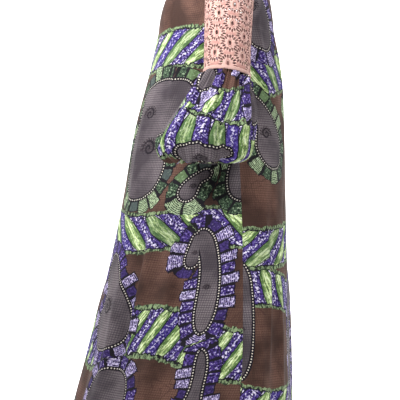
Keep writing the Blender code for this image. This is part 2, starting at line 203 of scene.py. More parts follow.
def short_creases(side, across, z):
    """How far the short creases stand out, each fading at both its ends."""
    depth = np.zeros(np.broadcast(across, z).shape)
    for angle, half_width, out, top_z, bottom_z, lean in CREASES[side]:
        share = np.clip((top_z - z) / (top_z - bottom_z), 0, 1)
        middle = angle + lean * (top_z - z) + CREASE_WANDER * np.sin(share * 7 + angle)
        away = (across * 90.0 - middle) / half_width
        depth += out * np.exp(-away * away * CREASE_SHARPNESS) * np.sin(share**0.8 * math.pi) ** 0.8
    return depth


def skirt_surface(side, across, z):
    """Points of the skirt. Across runs from the dress's right side seam, -1, to its left one, 1."""
    half_width = through_rows(SKIRT, 1, z)
    seam_y = through_rows(SKIRT, 4, z)
    reach = np.abs(through_rows(SKIRT, 2 if side == FRONT else 3, z) - seam_y)
    sine = np.sin(across * math.pi / 2)
    cosine = np.maximum(np.cos(across * math.pi / 2), 0.0)
    x = half_width * np.sign(sine) * np.abs(sine) ** RING_POWER
    y = seam_y + side * reach * cosine**RING_POWER
    outward = unit(np.stack((sine / half_width, side * cosine / reach, 0 * x), -1))
    return np.stack((x, y, z + 0 * x), -1) + outward * hem_folds(side, across, z)[..., None]


def shoulder_and_neck(side, across):
    """Points of a panel's top edge: the neck curve in the middle, and a shoulder seam on each side of it."""
    part = np.abs(across)
    on_shoulder = part >= NECK_SHARE
    share = (part - NECK_SHARE) / (1 - NECK_SHARE)
    turn = np.clip(part / NECK_SHARE, 0, 1) * math.pi / 2
    x = np.where(on_shoulder, NECK_HALF_WIDTH + (SHOULDER_HALF_WIDTH - NECK_HALF_WIDTH) * share,
                 NECK_HALF_WIDTH * np.sin(turn))
    y = np.where(on_shoulder, SHOULDER_Y * share, side * NECK_REACH[side] * np.cos(turn))
    z = np.where(on_shoulder, SHOULDER_TOP_Z + (SHOULDER_Z - SHOULDER_TOP_Z) * share,
                 SHOULDER_TOP_Z - NECK_DROP[side] * np.abs(np.cos(turn)) ** NECK_CURVE)
    return np.stack((np.sign(across) * x, y, z), -1)


def yoke_surface(side, across, down):
    """Panel from its top edge, down 0, to the underarm, down 1. Across 1 is the armhole."""
    top = shoulder_and_neck(side, across)
    low = skirt_surface(side, across, UNDERARM_Z + 0 * across)
    near_side = across * across
    neck_part = np.minimum(1.0, np.abs(across) / NECK_SHARE)
    roundness = NECK_ROUNDNESS[side] + (SHOULDER_ROUNDNESS - NECK_ROUNDNESS[side]) * neck_part
    forward = down + (np.sin(down * math.pi / 2) - down) * roundness
    middle_fall = down + (1 - np.cos(down * math.pi / 2) - down) * roundness
    fall = middle_fall + ((1 - np.cos(down * math.pi)) / 2 - middle_fall) * near_side
    x = top[..., 0] + (low[..., 0] - top[..., 0]) * fall
    x = x - np.sign(across) * ARMHOLE_INSET * near_side * np.sin(fall * math.pi)
    y = top[..., 1] + (low[..., 1] - top[..., 1]) * forward
    y = y + side * ARMHOLE_REACH[side] * near_side * np.sin(down * math.pi)
    z = top[..., 2] + (low[..., 2] - top[..., 2]) * fall
    return np.stack((x, y, z), -1)


def surface_normals(grid, wraps):
    """Unit normals at the points of a grid of cloth."""
    if wraps:
        along = np.roll(grid, -1, axis=1) - np.roll(grid, 1, axis=1)
    else:
        along = np.gradient(grid, axis=1)
    return unit(np.cross(along, np.gradient(grid, axis=0)))


def run_along(grid, axis):
    """Distance along the cloth from its first row or column."""
    steps = np.linalg.norm(np.diff(grid, axis=axis), axis=-1)
    start = np.zeros_like(np.take(steps, [0], axis=axis))
    return np.concatenate((start, np.cumsum(steps, axis=axis)), axis=axis)


def panel_grid(side):
    """Points of a panel, and where each lies on its flat cloth: to the left of its middle, and below the underarm."""
    inner_columns = np.linspace(-1, 1, PANEL_COLUMNS + 1)[1:-1]
    edge = np.array(EDGE_COLUMNS)
    across = np.concatenate((-edge, inner_columns, edge[::-1]))[None, :]
    down = np.linspace(0, 1, YOKE_ROWS + 1)[:, None]
    z = np.linspace(UNDERARM_Z, HEM_Z, SKIRT_ROWS + 1)[1:, None]
    grid = np.concatenate((yoke_surface(side, across, down), skirt_surface(side, across + 0 * z, z)))
    to_left = run_along(grid, 1)
    to_left -= to_left[:, [to_left.shape[1] // 2]]
    below = run_along(grid, 0)
    below -= below[[YOKE_ROWS]]
    edge_distance = np.minimum(to_left - to_left[:, :1], to_left[:, -1:] - to_left)
    normals = surface_normals(grid, False) * -side
    settle = short_creases(side, across, grid[..., 2]) * np.clip(edge_distance / SETTLE_ROOM, 0, 1)
    settle *= np.clip(-grid[..., 2] / 0.10, 0, 1)
    settle -= SEAM_DIP * np.exp(-(edge_distance / SEAM_DIP_WIDTH) ** 2)
    grid = grid + normals * settle[..., None]
    return grid, normals, to_left, below


def with_turnings(grid, normals, to_left, below):
    """The neck edge and shoulder seams turned down inside, and the hem turned up inside."""
    parts = [grid]
    places = [below]
    for edge, neighbour, turning in ((0, 2, NECK_TURNING), (-1, -8, HEM_TURNING)):
        inward = unit(grid[neighbour] - grid[edge])
        rises = np.linspace(0.0, turning, TURNING_ROWS + 1)
        turned = np.array([grid[edge] + inward * rise - normals[edge] * TURNING_DEPTH for rise in rises])
        if edge == 0:
            parts.insert(0, turned[::-1])
            places.insert(0, np.array([below[0] - TURNING_DEPTH - rise for rise in rises[::-1]]))
        else:
            parts.append(turned)
            places.append(np.array([below[-1] + TURNING_DEPTH + rise for rise in rises]))
    more = TURNING_ROWS + 1
    to_left = np.pad(to_left, ((more, more), (0, 0)), mode="edge")
    return np.concatenate(parts), to_left, np.concatenate(places)


def new_piece(name, points, faces):
    """A smooth piece made of points and faces."""
    mesh = bpy.data.meshes.new(name)
    mesh.from_pydata(points, [], faces)
    mesh.shade_smooth()
    piece = bpy.data.objects.new(name, mesh)
    bpy.context.scene.collection.objects.link(piece)
    return piece


def thicken(piece, thickness):
    """Gives cloth its thickness, inward from the side that shows."""
    wall = piece.modifiers.new("thickness", "SOLIDIFY")
    wall.thickness = thickness
    wall.offset = -1.0


def sheet_of_cloth(name, grid, wraps, flip, thickness):
    """A piece of cloth through a grid of points, and the four corners of each of its faces."""
    rows, columns = grid.shape[:2]
    row, column = np.meshgrid(np.arange(rows - 1), np.arange(columns if wraps else columns - 1), indexing="ij")
    after = (column + 1) % columns
    corners = np.stack((row * columns + column, (row + 1) * columns + column,
                        (row + 1) * columns + after, row * columns + after), -1).reshape(-1, 4)
    if flip:
        corners = corners[:, ::-1]
    piece = new_piece(name, grid.reshape(-1, 3).tolist(), corners.tolist())
    thicken(piece, thickness)
    return piece, corners


def chart(piece, name, across, down):
    """Writes two numbers to every corner of a piece's faces, for its print to read."""
    layer = piece.data.uv_layers.new(name=name)
    layer.data.foreach_set("uv", np.stack((across, down), -1).astype(np.float32).ravel())


# The print, drawn for this cloth: curling paisleys with a dotted outline and a ring of blocks,
# and wavy bands of slanting leaves between their rows
# Columns: left of the panel's middle, below the underarm, height, width, curl (minus to the right), turn,
# width of the neck as a share, block colour
# Where two paisleys overlap, as two rows do for the largest and for the hooked one, they join into one form
PURPLE, GREEN, NO_BLOCKS = 0, 1, 2
PANEL_PAISLEYS = {
    FRONT: (
        (0.190, 0.302, 0.285, 0.168, 1.30, -3, 0.96, GREEN),
        (0.166, 0.219, 0.134, 0.136, -0.1, -8, 1.00, GREEN),
        (0.352, 0.415, 0.090, 0.052, 0.8, 24, 0.60, GREEN),
        (-0.070, 0.285, 0.300, 0.125, -1.1, -5, 0.42, GREEN),
        (-0.325, 0.310, 0.310, 0.125, 1.0, 6, 0.45, GREEN),
        (0.452, 0.330, 0.270, 0.105, -1.0, -8, 0.45, GREEN),
        (0.456, 0.660, 0.252, 0.054, -0.35, -11, 0.85, PURPLE),
        (0.402, 0.584, 0.082, 0.042, 0.3, -6, 0.80, PURPLE),
        (0.172, 0.728, 0.240, 0.185, -0.8, -6, 0.46, PURPLE),
        (-0.105, 0.700, 0.300, 0.110, 1.3, 5, 0.42, PURPLE),
        (-0.385, 0.730, 0.290, 0.110, -1.2, -3, 0.45, PURPLE),
        (0.255, 1.035, 0.280, 0.150, 1.0, 178, 0.45, PURPLE),
        (0.530, 0.990, 0.290, 0.090, -0.3, 4, 0.36, PURPLE),
        (-0.035, 1.060, 0.280, 0.115, -1.0, -4, 0.40, GREEN),
        (-0.290, 1.070, 0.280, 0.115, -1.1, 5, 0.45, PURPLE),
        (-0.530, 1.040, 0.270, 0.100, 1.0, 0, 0.42, PURPLE),
        (0.050, -0.255, 0.230, 0.100, -1.0, 12, 0.45, PURPLE),
        (-0.150, -0.150, 0.230, 0.100, 1.0, -8, 0.42, PURPLE),
    ),
    BACK: (
        (0.215, -0.065, 0.270, 0.125, 1.0, 4, 0.45, PURPLE),
        (-0.070, -0.080, 0.260, 0.110, -1.0, -5, 0.42, PURPLE),
        (0.235, 0.275, 0.195, 0.115, 0.9, 8, 0.50, GREEN),
        (-0.020, 0.320, 0.290, 0.110, 1.1, 6, 0.42, GREEN),
        (-0.275, 0.300, 0.290, 0.110, -1.0, 0, 0.45, GREEN),
        (0.400, 0.760, 0.270, 0.050, 0.2, -14, 0.90, NO_BLOCKS),
        (0.085, 0.800, 0.300, 0.110, -1.1, -5, 0.42, PURPLE),
        (-0.180, 0.800, 0.300, 0.110, 1.1, 4, 0.45, PURPLE),
        (-0.400, 0.760, 0.270, 0.085, -1.0, -2, 0.42, PURPLE),
        (0.300, 1.110, 0.220, 0.100, -1.0, 6, 0.42, GREEN),
        (-0.030, 1.120, 0.240, 0.100, 1.0, -4, 0.45, PURPLE),
        (-0.300, 1.100, 0.240, 0.100, -1.0, 5, 0.42, PURPLE),
    ),
}
# Columns: below the underarm, half height, height of its waves, their length, their phase,
# lean and width of its leaves, shift of the leaves along the band
PANEL_BANDS = {
    FRONT: (
        (0.064, 0.056, 0.008, 0.46, 1.60, 1.12, 0.043, -0.08),
        (0.535, 0.053, 0.012, 0.50, -0.82, -1.20, 0.053, 0.90),
        (0.820, 0.067, 0.028, 0.50, 0.19, 0.90, 0.029, 0.00),
    ),
    BACK: (
        (0.125, 0.056, 0.016, 0.44, 4.00, 0.90, 0.038, 0.00),
        (0.569, 0.053, 0.010, 0.56, 4.20, -1.45, 0.050, 0.77),
        (0.694, 0.050, 0.018, 0.50, 0.44, 0.10, 0.034, -0.65),
        (0.965, 0.050, 0.016, 0.46, 3.60, -1.00, 0.045, 0.00),
    ),
}
BLOCK_PITCH = 0.0290
# A block's number also carries its colour, and a leaf's number its band, in steps that keep them apart
COLOUR_STEP = 1000.0
COUNT_START = 500.5
BAND_STEP = 40.0
GREEN_SHARE = 0.57
OUTLINE_POINTS = 48
BELLY = 0.26
FAR_AWAY = 1.0
SPINE_LENGTH = 1.12
NECK_THINS_BY = 0.62
TIP_START = 0.78
CURL_SPOT = 0.42
MIDDLING_WIDTH = 0.125


def paisley_outline(height, width, curl, turn, neck_width):
    """A round foot with a curling neck, once round from its tip, and the place of the small curl inside it."""
    along = np.linspace(0, 1, OUTLINE_POINTS)
    heading = curl * (1.75 * along**2 - 0.25)
    step = 1 / (OUTLINE_POINTS - 1)
    spine = np.stack((np.cumsum(np.sin(heading)), np.cumsum(-np.cos(heading))), -1) * step * height * SPINE_LENGTH
    below = np.sqrt(np.clip(1 - ((BELLY - along) / BELLY) ** 2, 0, 1))
    up = np.clip((along - BELLY) / (1 - BELLY), 0, 1)
    thin = np.clip(up / NECK_THINS_BY, 0, 1)
    neck = 1 - (1 - neck_width) * thin * thin * (3 - 2 * thin)
    tip = np.sqrt(np.clip(1 - (np.clip(up - TIP_START, 0, 1) / (1 - TIP_START)) ** 2, 0, 1))
    half = width / 2 * np.where(along < BELLY, below, neck * tip)
    across = np.stack((np.cos(heading), np.sin(heading)), -1) * half[:, None]
    outline = np.concatenate(((spine - across)[::-1], (spine + across)[1:-1]))
    middle = (outline.max(0) + outline.min(0)) / 2
    inner = spine[int(OUTLINE_POINTS * CURL_SPOT)] + (0.10 * width * np.sign(curl), 0.0)
    angle = math.radians(turn)
    turned = np.array(((math.cos(angle), math.sin(angle)), (-math.sin(angle), math.cos(angle))))
    return (outline - middle) @ turned, (inner - middle) @ turned


def distance_from_paisley(spots, outline):
    """Distance of each spot outside an outline, negative inside, and how far round it the nearest point is."""
    ends = np.roll(outline, -1, axis=0)
    sides = ends - outline
    lengths = np.linalg.norm(sides, axis=1)
    starts = np.concatenate(((0.0,), np.cumsum(lengths)[:-1]))
    away = spots[:, None, :] - outline[None]
    share = np.clip((away * sides).sum(-1) / lengths**2, 0, 1)
    distance = np.linalg.norm(away - share[..., None] * sides, axis=-1)
    nearest = distance.argmin(1)
    pick = np.arange(len(spots))
    crosses = (outline[:, 1] > spots[:, 1:]) != (ends[:, 1] > spots[:, 1:])
    rise = np.where(np.abs(sides[:, 1]) < 1e-12, 1e-12, sides[:, 1])
    inside = (crosses & (away[..., 0] < sides[:, 0] * away[..., 1] / rise)).sum(1) % 2 == 1
    round_it = (starts[nearest] + share[pick, nearest] * lengths[nearest]) / lengths.sum()
    return np.where(inside, -1, 1) * distance[pick, nearest], round_it, lengths.sum()


def beside_first(values, once_round):
    """Numbers that run round a tube, moved by whole rounds to lie beside the first of each face."""
    return values - np.round((values - values[:, :1]) / once_round) * once_round


def lay_print(piece, corners, to_left, below, paisleys, bands, round_length=None):
    """Charts the cloth, its nearest paisley and its nearest band over a piece."""
    across = to_left.ravel()[corners]
    down = below.ravel()[corners]
    if round_length:
        across = beside_first(across, round_length)
    spots = np.stack((to_left.ravel(), below.ravel()), -1)
    distances = np.full((len(spots), len(paisleys)), FAR_AWAY)
    rounds = np.zeros_like(distances)
    blocks = np.ones(len(paisleys))
    curls = np.zeros((len(paisleys), 2))
    for index, (left, low, height, width, curl, turn, neck_width, _) in enumerate(paisleys):
        offset = spots - (left, low)
        if round_length:
            offset[:, 0] = (offset[:, 0] + round_length / 2) % round_length - round_length / 2
        near = (np.abs(offset) < (0.80 * height, 0.90 * height)).all(1)
        outline, inner = paisley_outline(height, width, curl, turn, neck_width)
        curls[index] = inner + (left, low)
        distances[near, index], rounds[near, index], around = distance_from_paisley(offset[near], outline)
        blocks[index] = round(around / BLOCK_PITCH)
    corner_distances = distances[corners]
    nearest = corner_distances.mean(1).argmin(1)
    face = np.arange(len(corners))
    distance = corner_distances[face, :, nearest]
    place = beside_first(rounds[corners][face, :, nearest], 1.0)
    corner_distances[face, :, nearest] = FAR_AWAY * 2
    between = corner_distances.min(2) - distance
    colour = np.array([row[7] for row in paisleys])[nearest]
    counted = place * blocks[nearest][:, None] + COLOUR_STEP * colour[:, None] + COUNT_START
    curl_across = across - curls[nearest][:, :1]
    if round_length:
        curl_across -= np.round(curl_across.mean(1, keepdims=True) / round_length) * round_length
    shifts = np.stack([(down - middle - wave * np.sin(across / wave_length * math.tau + phase)) / half_height
                       for middle, half_height, wave, wave_length, phase, _, _, _ in bands], -1)
    band = np.abs(shifts.mean(1)).argmin(1)
    in_band = shifts[face, :, band]
    lean, leaf_width, shift = np.array([row[5:] for row in bands])[band].T[..., None]
    chart(piece, "cloth", across, down)
    chart(piece, "paisley", distance, counted)
    size = np.array([row[3] for row in paisleys])[nearest][:, None] / MIDDLING_WIDTH
    chart(piece, "curl", curl_across / size, (down - curls[nearest][:, 1:]) / size)
    chart(piece, "band", in_band, across / leaf_width + in_band * lean + shift + BAND_STEP * band[:, None])
    chart(piece, "between", between, 0 * between)


def rule(operation):
    """A way to work out a new tone, by the name that a Math node has for it."""
    return lambda *parts: worked_out(operation, *parts)


class Tone:
    """A number that varies over the cloth, so that a print's rules read as plain sums.

    Its whole part and the rest, from 0 to 1, make repeats: the one counts them, the other is the place in each.
    """

    def __init__(self, socket):
        self.socket = socket
        self.tree = socket.id_data

    __add__ = rule("ADD")
    __sub__ = rule("SUBTRACT")
    __mul__ = rule("MULTIPLY")
    __truediv__ = rule("DIVIDE")
    __lt__ = rule("LESS_THAN")
    __gt__ = rule("GREATER_THAN")
    __abs__ = rule("ABSOLUTE")
    whole = rule("FLOOR")
    rest = rule("FRACT")
    sine = rule("SINE")
    root = rule("SQRT")


def worked_out(operation, *parts):
    """The tone that a sum of tones and numbers gives."""
    tree = next(part.tree for part in parts if isinstance(part, Tone))
    node = tree.nodes.new("ShaderNodeMath")
    node.operation = operation
    for slot, part in zip(node.inputs, parts):
        if isinstance(part, Tone):
            tree.links.new(part.socket, slot)
        else:
            slot.default_value = part
    return Tone(node.outputs[0])


def read_chart(tree, name):
    """The two numbers of a chart, as tones."""
    chart_node = tree.nodes.new("ShaderNodeUVMap")
    chart_node.uv_map = name
    parts = tree.nodes.new("ShaderNodeSeparateXYZ")
    tree.links.new(chart_node.outputs[0], parts.inputs[0])
    return Tone(parts.outputs[0]), Tone(parts.outputs[1])


def placed(x, y):
    """A place on the cloth, from two tones."""
    node = x.tree.nodes.new("ShaderNodeCombineXYZ")
    x.tree.links.new(x.socket, node.inputs[0])
    x.tree.links.new(y.socket, node.inputs[1])
    return node.outputs[0]


def mottle(x, y, scale, detail=2.0, roughness=0.5):
    """Soft random tone between 0 and 1, with about so many spots a metre."""
    node = x.tree.nodes.new("ShaderNodeTexNoise")
    node.inputs["Scale"].default_value = scale
    node.inputs["Detail"].default_value = detail
    node.inputs["Roughness"].default_value = roughness
    x.tree.links.new(placed(x, y), node.inputs["Vector"])
    return Tone(node.outputs[0])


def chance(number):
    """A different tone between 0 and 1 for each whole number."""
    node = number.tree.nodes.new("ShaderNodeTexWhiteNoise")
    node.noise_dimensions = "1D"
    number.tree.links.new(number.socket, node.inputs["W"])
    return Tone(node.outputs["Value"])


def dye(*colour):
    """A colour as it looks on screen, red, green and blue in 0 to 255, made into light."""
    return tuple(v / 255 / 12.92 if v < 10.3 else ((v / 255 + 0.055) / 1.055) ** 2.4 for v in colour) + (1.0,)


def inked(colour, *layers):
    """Colours laid one over another, each where its tone is 1."""
    for over, where in layers:
        node = where.tree.nodes.new("ShaderNodeMix")
        node.data_type = "RGBA"
        where.tree.links.new(where.socket, node.inputs[0])
        for slot, ink in ((node.inputs[6], colour), (node.inputs[7], over)):
            if isinstance(ink, tuple):
                slot.default_value = ink
            else:
                where.tree.links.new(ink, slot)
        colour = node.outputs[2]
    return colour


def ramp(tone, low, high):
    """0 where a tone is under low, 1 where it is over high, even between."""
    share = (tone - low) / (high - low)
    return worked_out("MINIMUM", worked_out("MAXIMUM", share, 0.0), 1.0)


def new_material(name, roughness, shine=0.5):
    """A material, its node tree and its shader."""
    material = bpy.data.materials.new(name)
    material.use_nodes = True
    shader = material.node_tree.nodes["Principled BSDF"]
    shader.inputs["Roughness"].default_value = roughness
    shader.inputs["Specular IOR Level"].default_value = shine
    return material, material.node_tree, shader


def surfaced(shader, colour, height, strength, depth):
    """Gives a shader its colour and a fine relief."""
    relief = height.tree.nodes.new("ShaderNodeBump")
    relief.inputs["Strength"].default_value = strength
    relief.inputs["Distance"].default_value = depth
    for socket, slot in ((height.socket, relief.inputs["Height"]), (relief.outputs[0], shader.inputs["Normal"]),
                         (colour, shader.inputs["Base Color"])):
        height.tree.links.new(socket, slot)


PRINT_BLACK = dye(20, 16, 24)
GRID_PITCH = 0.0060
THREAD_PITCH = 0.0008
BLOCK_REACH = 0.0290
OUTLINE_HALF = 0.0052
DOT_RADIUS = 0.0016


def printed_ground(across, down, slow, grain, speckle, grid_line):
    """Cloudy brown, with a grid of fine dark lines and the crackle of broken wax."""
    crackle = across.tree.nodes.new("ShaderNodeTexVoronoi")
    crackle.feature = "DISTANCE_TO_EDGE"
    crackle.inputs["Scale"].default_value = 26.0
    spot = placed(across + (speckle - 0.5) * 0.012, down + (slow - 0.5) * 0.05)
    across.tree.links.new(spot, crackle.inputs["Vector"])
    return inked(
        dye(106, 76, 65),
        (dye(58, 39, 32), ramp(slow, 0.36, 0.62)),
        (dye(52, 34, 30), grid_line * ramp(grain, 0.25, 0.70)),
        (dye(46, 30, 28), (Tone(crackle.outputs[0]) < 0.013) * 0.45),
    )


def printed_band(tree, across, down, slow, grain, speckle, wobble):
    """A band of slanting leaves, purple and green in turn, and where its ragged edges end."""
    in_band, leaf_count = read_chart(tree, "band")
    leaf_number = leaf_count + (slow - 0.5) * 0.45
    in_pair = (leaf_number * 0.5).rest()
    is_green = in_pair < GREEN_SHARE
    leaf_chance = chance((leaf_number * 0.5).whole() * 2.0 + (is_green * -1.0 + 1.0))
    green_side = in_pair / GREEN_SHARE - 0.5
    purple_side = (in_pair - GREEN_SHARE) / (1 - GREEN_SHARE) - 0.5
    leaf_side = purple_side + is_green * (green_side - purple_side)
    leaf_across = abs(leaf_side)
    pointed = worked_out("MAXIMUM", (in_band * in_band) * -1.02 + 1.0, 0.0)
    leaf_room = worked_out("POWER", pointed, 0.44) * 0.50
    streak = mottle(leaf_number * 0.085, down * 0.75, 60.0, 3.0, 0.7)
    sparks = ramp(speckle + (streak - 0.5) * 0.50 - leaf_across * 0.30 * (is_green < 0.5), 0.505, 0.560)
    light_middle = ramp(leaf_across * -1.0 + (streak - 0.5) * 0.60, -0.30, -0.12)
    hatching = (leaf_side * 30.0 + in_band * 5.0 + (speckle - 0.5) * 7.0).sine() > 0.62
    purple = inked(
        dye(20, 13, 46),
        (dye(76, 58, 134), ramp(speckle, 0.41, 0.53)),
        (dye(216, 210, 228), sparks),
        (dye(50, 40, 128), (leaf_chance > 0.6) * 0.30),
    )
    leaf = inked(
        dye(90, 120, 62),
        (dye(170, 194, 120), light_middle),
        (dye(226, 236, 198), ramp(grain * 0.5 + streak * 0.8 + light_middle * 0.10, 0.72, 0.84)),
        (dye(44, 70, 40), ramp(streak * -1.0 + grain * 0.35, -0.30, -0.22) * 0.85),
        (dye(60, 84, 62), (leaf_chance < 0.20) * 0.40),
        (dye(58, 84, 52), hatching * 0.6),
    )
    blades = mottle(across * 2.2, down * 0.8, 95.0, 2.0)
    fringe = inked(dye(38, 50, 38), (dye(128, 148, 108), ramp(blades, 0.44, 0.56)))
    reach = abs(in_band) + (wobble - 0.5) * 0.34
    band = inked(
        purple,
        (PRINT_BLACK, leaf_across > 0.470),
        (PRINT_BLACK, is_green * (leaf_across < leaf_room + 0.020)),
        (leaf, is_green * (leaf_across < leaf_room - 0.035)),
        (PRINT_BLACK, reach > 0.82),
        (fringe, reach > 0.88),
    )
    return band, reach < 1.02


def printed_blocks(distance, counted, between, grain, speckle, wobble):
    """The ring of blocks round a paisley, where they are, and each one's number round it."""
    colour = (counted / COLOUR_STEP).whole()
    number = counted - colour * COLOUR_STEP - (COUNT_START - 0.5)
    across = abs(number.rest() - 0.5) + ((wobble - 0.5) * 0.22 + (speckle - 0.5) * 0.10)
    luck = chance(number.whole() + colour * 37.0)
    reach = luck * 0.019 + BLOCK_REACH + (wobble - 0.5) * 0.012 - (colour > 1.5) * 0.2
    ladder = (distance / 0.0046 + (speckle - 0.5) * 0.7).rest()
    green = inked(
        dye(20, 30, 26),
        (dye(84, 108, 82), ramp(grain * 0.4 + speckle * 0.6, 0.46, 0.57)),
        (dye(176, 194, 160), ramp(speckle + (luck - 0.5) * 0.10, 0.58, 0.64)),
        (dye(182, 200, 158), (ladder < 0.36) * (luck > 0.55) * 0.8),
        (dye(116, 142, 94), (luck < 0.16) * 0.45),
    )
    blocks = inked(
        dye(22, 14, 50),
        (dye(76, 56, 132), ramp(speckle, 0.43, 0.55)),
        (dye(210, 202, 226), ramp(speckle + (luck - 0.5) * 0.12, 0.580, 0.635)),
        (dye(200, 188, 222), (ladder < 0.30) * (luck > 0.66) * 0.6),
        (green, worked_out("MINIMUM", colour, 1.0)),
        (dye(40, 28, 72), (luck < 0.14) * 0.6),
        (PRINT_BLACK, across > 0.385),
        (PRINT_BLACK, distance > reach - 0.0024),
        (PRINT_BLACK, between < 0.0050),
    )
    return blocks, (distance < reach) * (between > 0.0), number


def printed_fill(tree, slow, grain, speckle, grid_line):
    """Grey inside of a paisley, with a small curl of fine strokes."""
    across, down = read_chart(tree, "curl")
    reach = (across * across + down * down * 1.5).root() + (speckle - 0.5) * 0.004
    turn = worked_out("ARCTAN2", down, across) / math.tau
    spiral = (reach / 0.0120 + turn).rest()
    strokes = (turn * (math.tau * 17) + reach * 300.0).sine() > -0.2
    return inked(
        dye(114, 105, 108),
        (dye(66, 59, 63), ramp(slow, 0.38, 0.62)),
        (dye(54, 48, 56), grid_line * ramp(grain, 0.08, 0.60) * 0.95),
        (dye(38, 30, 34), (reach < 0.0260) * (down < 0.006) * strokes * 0.8),
        (dye(26, 20, 28), (reach < 0.0200) * (spiral < 0.42)),
    )


def wax_print():
    """Wax-printed cotton: brown ground, grey paisleys, purple and green blocks and leaves, black lines, pale dots."""
    material, tree, shader = new_material("wax_print", 0.75, 0.18)
    across, down = read_chart(tree, "cloth")
    distance, counted = read_chart(tree, "paisley")
    between, _ = read_chart(tree, "between")
    slow = mottle(across, down, 9.0, 3.0)
    grain = mottle(across, down, 420.0, 2.0, 0.6)
    speckle = mottle(across, down, 175.0, 2.5, 0.65)
    wobble = mottle(across, down, 75.0, 2.0)
    crumple = mottle(across, down, 38.0, 3.0, 0.55)
    grid_line = worked_out("MAXIMUM", ((across / GRID_PITCH).rest() < 0.32) * 0.8, (down / GRID_PITCH).rest() < 0.34)

    ground = printed_ground(across, down, slow, grain, speckle, grid_line)
    band, in_reach = printed_band(tree, across, down, slow, grain, speckle, wobble)
    blocks, on_block, block_number = printed_blocks(distance, counted, between, grain, speckle, wobble)
    fill = printed_fill(tree, slow, grain, speckle, grid_line)
    dot_across = ((block_number * 4.0).rest() - 0.5) * (BLOCK_PITCH / 4)
    dot = (dot_across * dot_across + distance * distance).root()
    cloth = inked(
        ground,
        (band, in_reach),
        (blocks, on_block),
        (fill, distance < 0.0),
        (PRINT_BLACK, abs(distance) < OUTLINE_HALF),
        (dye(216, 208, 196), dot < DOT_RADIUS),
    )
    threads = (across * (math.tau / THREAD_PITCH)).sine() * (down * (math.tau / THREAD_PITCH)).sine()
    surfaced(shader, cloth, crumple + threads * 0.03 + grain * 0.10, 0.55, 0.0016)
    return material


def points_at(stops, run, line):
    """Points of a line where the run along it reaches each stop."""
    return np.stack([np.interp(stops, run, line[:, axis]) for axis in range(3)], -1)


def inside_edge(lines, facing, distance):
    """Points at a distance along each line of cloth from its start, and which way the cloth faces there."""
    runs = run_along(lines, 1)
    return [np.array([points_at(distance, run, line) for line, run in zip(values, runs)]) for values in (lines, facing)]


STITCH_LENGTH = 0.0024
STITCH_GAP = 0.0007
THREAD_RADIUS = 0.00028


def sewn_row(name, path, facing, thread):
    """A row of stitches that lie on the cloth along a path."""
    run = run_along(path, 0)
    starts = np.arange(0.001, run[-1] - STITCH_LENGTH - 0.001, STITCH_LENGTH + STITCH_GAP)
    stops = starts[:, None] + np.array((0.0, 0.3, 0.7, 1.0)) * STITCH_LENGTH
    spots = points_at(stops, run, path)
    upward = unit(points_at(stops, run, facing))
    forward = (spots[:, -1] - spots[:, 0])[:, None]
    sideways = unit(np.cross(np.broadcast_to(forward, spots.shape), upward))
    thick = np.array((0.45, 1.0, 1.0, 0.45))[None, :, None] * THREAD_RADIUS
    lift = np.array((-0.6, 0.7, 0.7, -0.6))[None, :, None] * THREAD_RADIUS
    ring = [sideways * thick, upward * thick, -sideways * thick, -upward * thick]
    corners = np.stack([spots + upward * lift + offset for offset in ring], 2)
    walls = [(4 * r + c, 4 * r + (c + 1) % 4, 4 * r + 4 + (c + 1) % 4, 4 * r + 4 + c)
             for r in range(3) for c in range(4)] + [(3, 2, 1, 0), (12, 13, 14, 15)]
    faces = (np.arange(len(starts))[:, None, None] * 16 + np.array(walls)).reshape(-1, 4)
    row = new_piece(name, corners.reshape(-1, 3).tolist(), faces.tolist())
    row.data.materials.append(thread)
    return row


def sewing_thread(name, light, dark):
    """Twisted cotton thread."""
    material, tree, shader = new_material(name, 0.6)
    place = tree.nodes.new("ShaderNodeTexCoord")
    twist = tree.nodes.new("ShaderNodeTexNoise")
    twist.inputs["Scale"].default_value = 1500.0
    tree.links.new(place.outputs["Object"], twist.inputs["Vector"])
    tone = Tone(twist.outputs[0])
    surfaced(shader, inked(light, (dark, tone)), tone, 0.5, 0.0002)
    return material


WAX_PRINT = wax_print()
BROWN_THREAD = sewing_thread("brown_thread", dye(104, 78, 72), dye(52, 36, 40))
HEM_STITCH_ROW = -4
NECK_STITCHES_IN = 0.006
ARMHOLE_STITCHES_IN = 0.005
for side, node in ((FRONT, "front_panel"), (BACK, "back_panel")):
    grid, normals, to_left, below = panel_grid(side)
    turned_grid, turned_left, turned_below = with_turnings(grid, normals, to_left, below)
    panel, corners = sheet_of_cloth(node + "_cloth", turned_grid, False, side == BACK, COTTON_THICKNESS)
    lay_print(panel, corners, turned_left, turned_below, PANEL_PAISLEYS[side], PANEL_BANDS[side])
    panel.data.materials.append(WAX_PRINT)

    columns = grid.shape[1]
    neck = slice(round(columns * (1 - NECK_SHARE) / 2) + 2, round(columns * (1 + NECK_SHARE) / 2) - 1)
    yoke, yoke_normals = grid[:YOKE_ROWS], normals[:YOKE_ROWS]
    neck_lines = yoke[:, neck].swapaxes(0, 1), yoke_normals[:, neck].swapaxes(0, 1)
    left_lines = yoke[:, ::-1], yoke_normals[:, ::-1]
    paths = (
        ("hem", (grid[HEM_STITCH_ROW, 2:-2], normals[HEM_STITCH_ROW, 2:-2])),
        ("neck", inside_edge(*neck_lines, NECK_STITCHES_IN)),
        ("left_armhole", inside_edge(*left_lines, ARMHOLE_STITCHES_IN)),
        ("right_armhole", inside_edge(yoke, yoke_normals, ARMHOLE_STITCHES_IN)),
    )
    seams = [sewn_row(f"{node}_{place}_stitches", *path, BROWN_THREAD) for place, path in paths]
    for piece in [panel] + seams:
        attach(piece, "root")
    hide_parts(node)


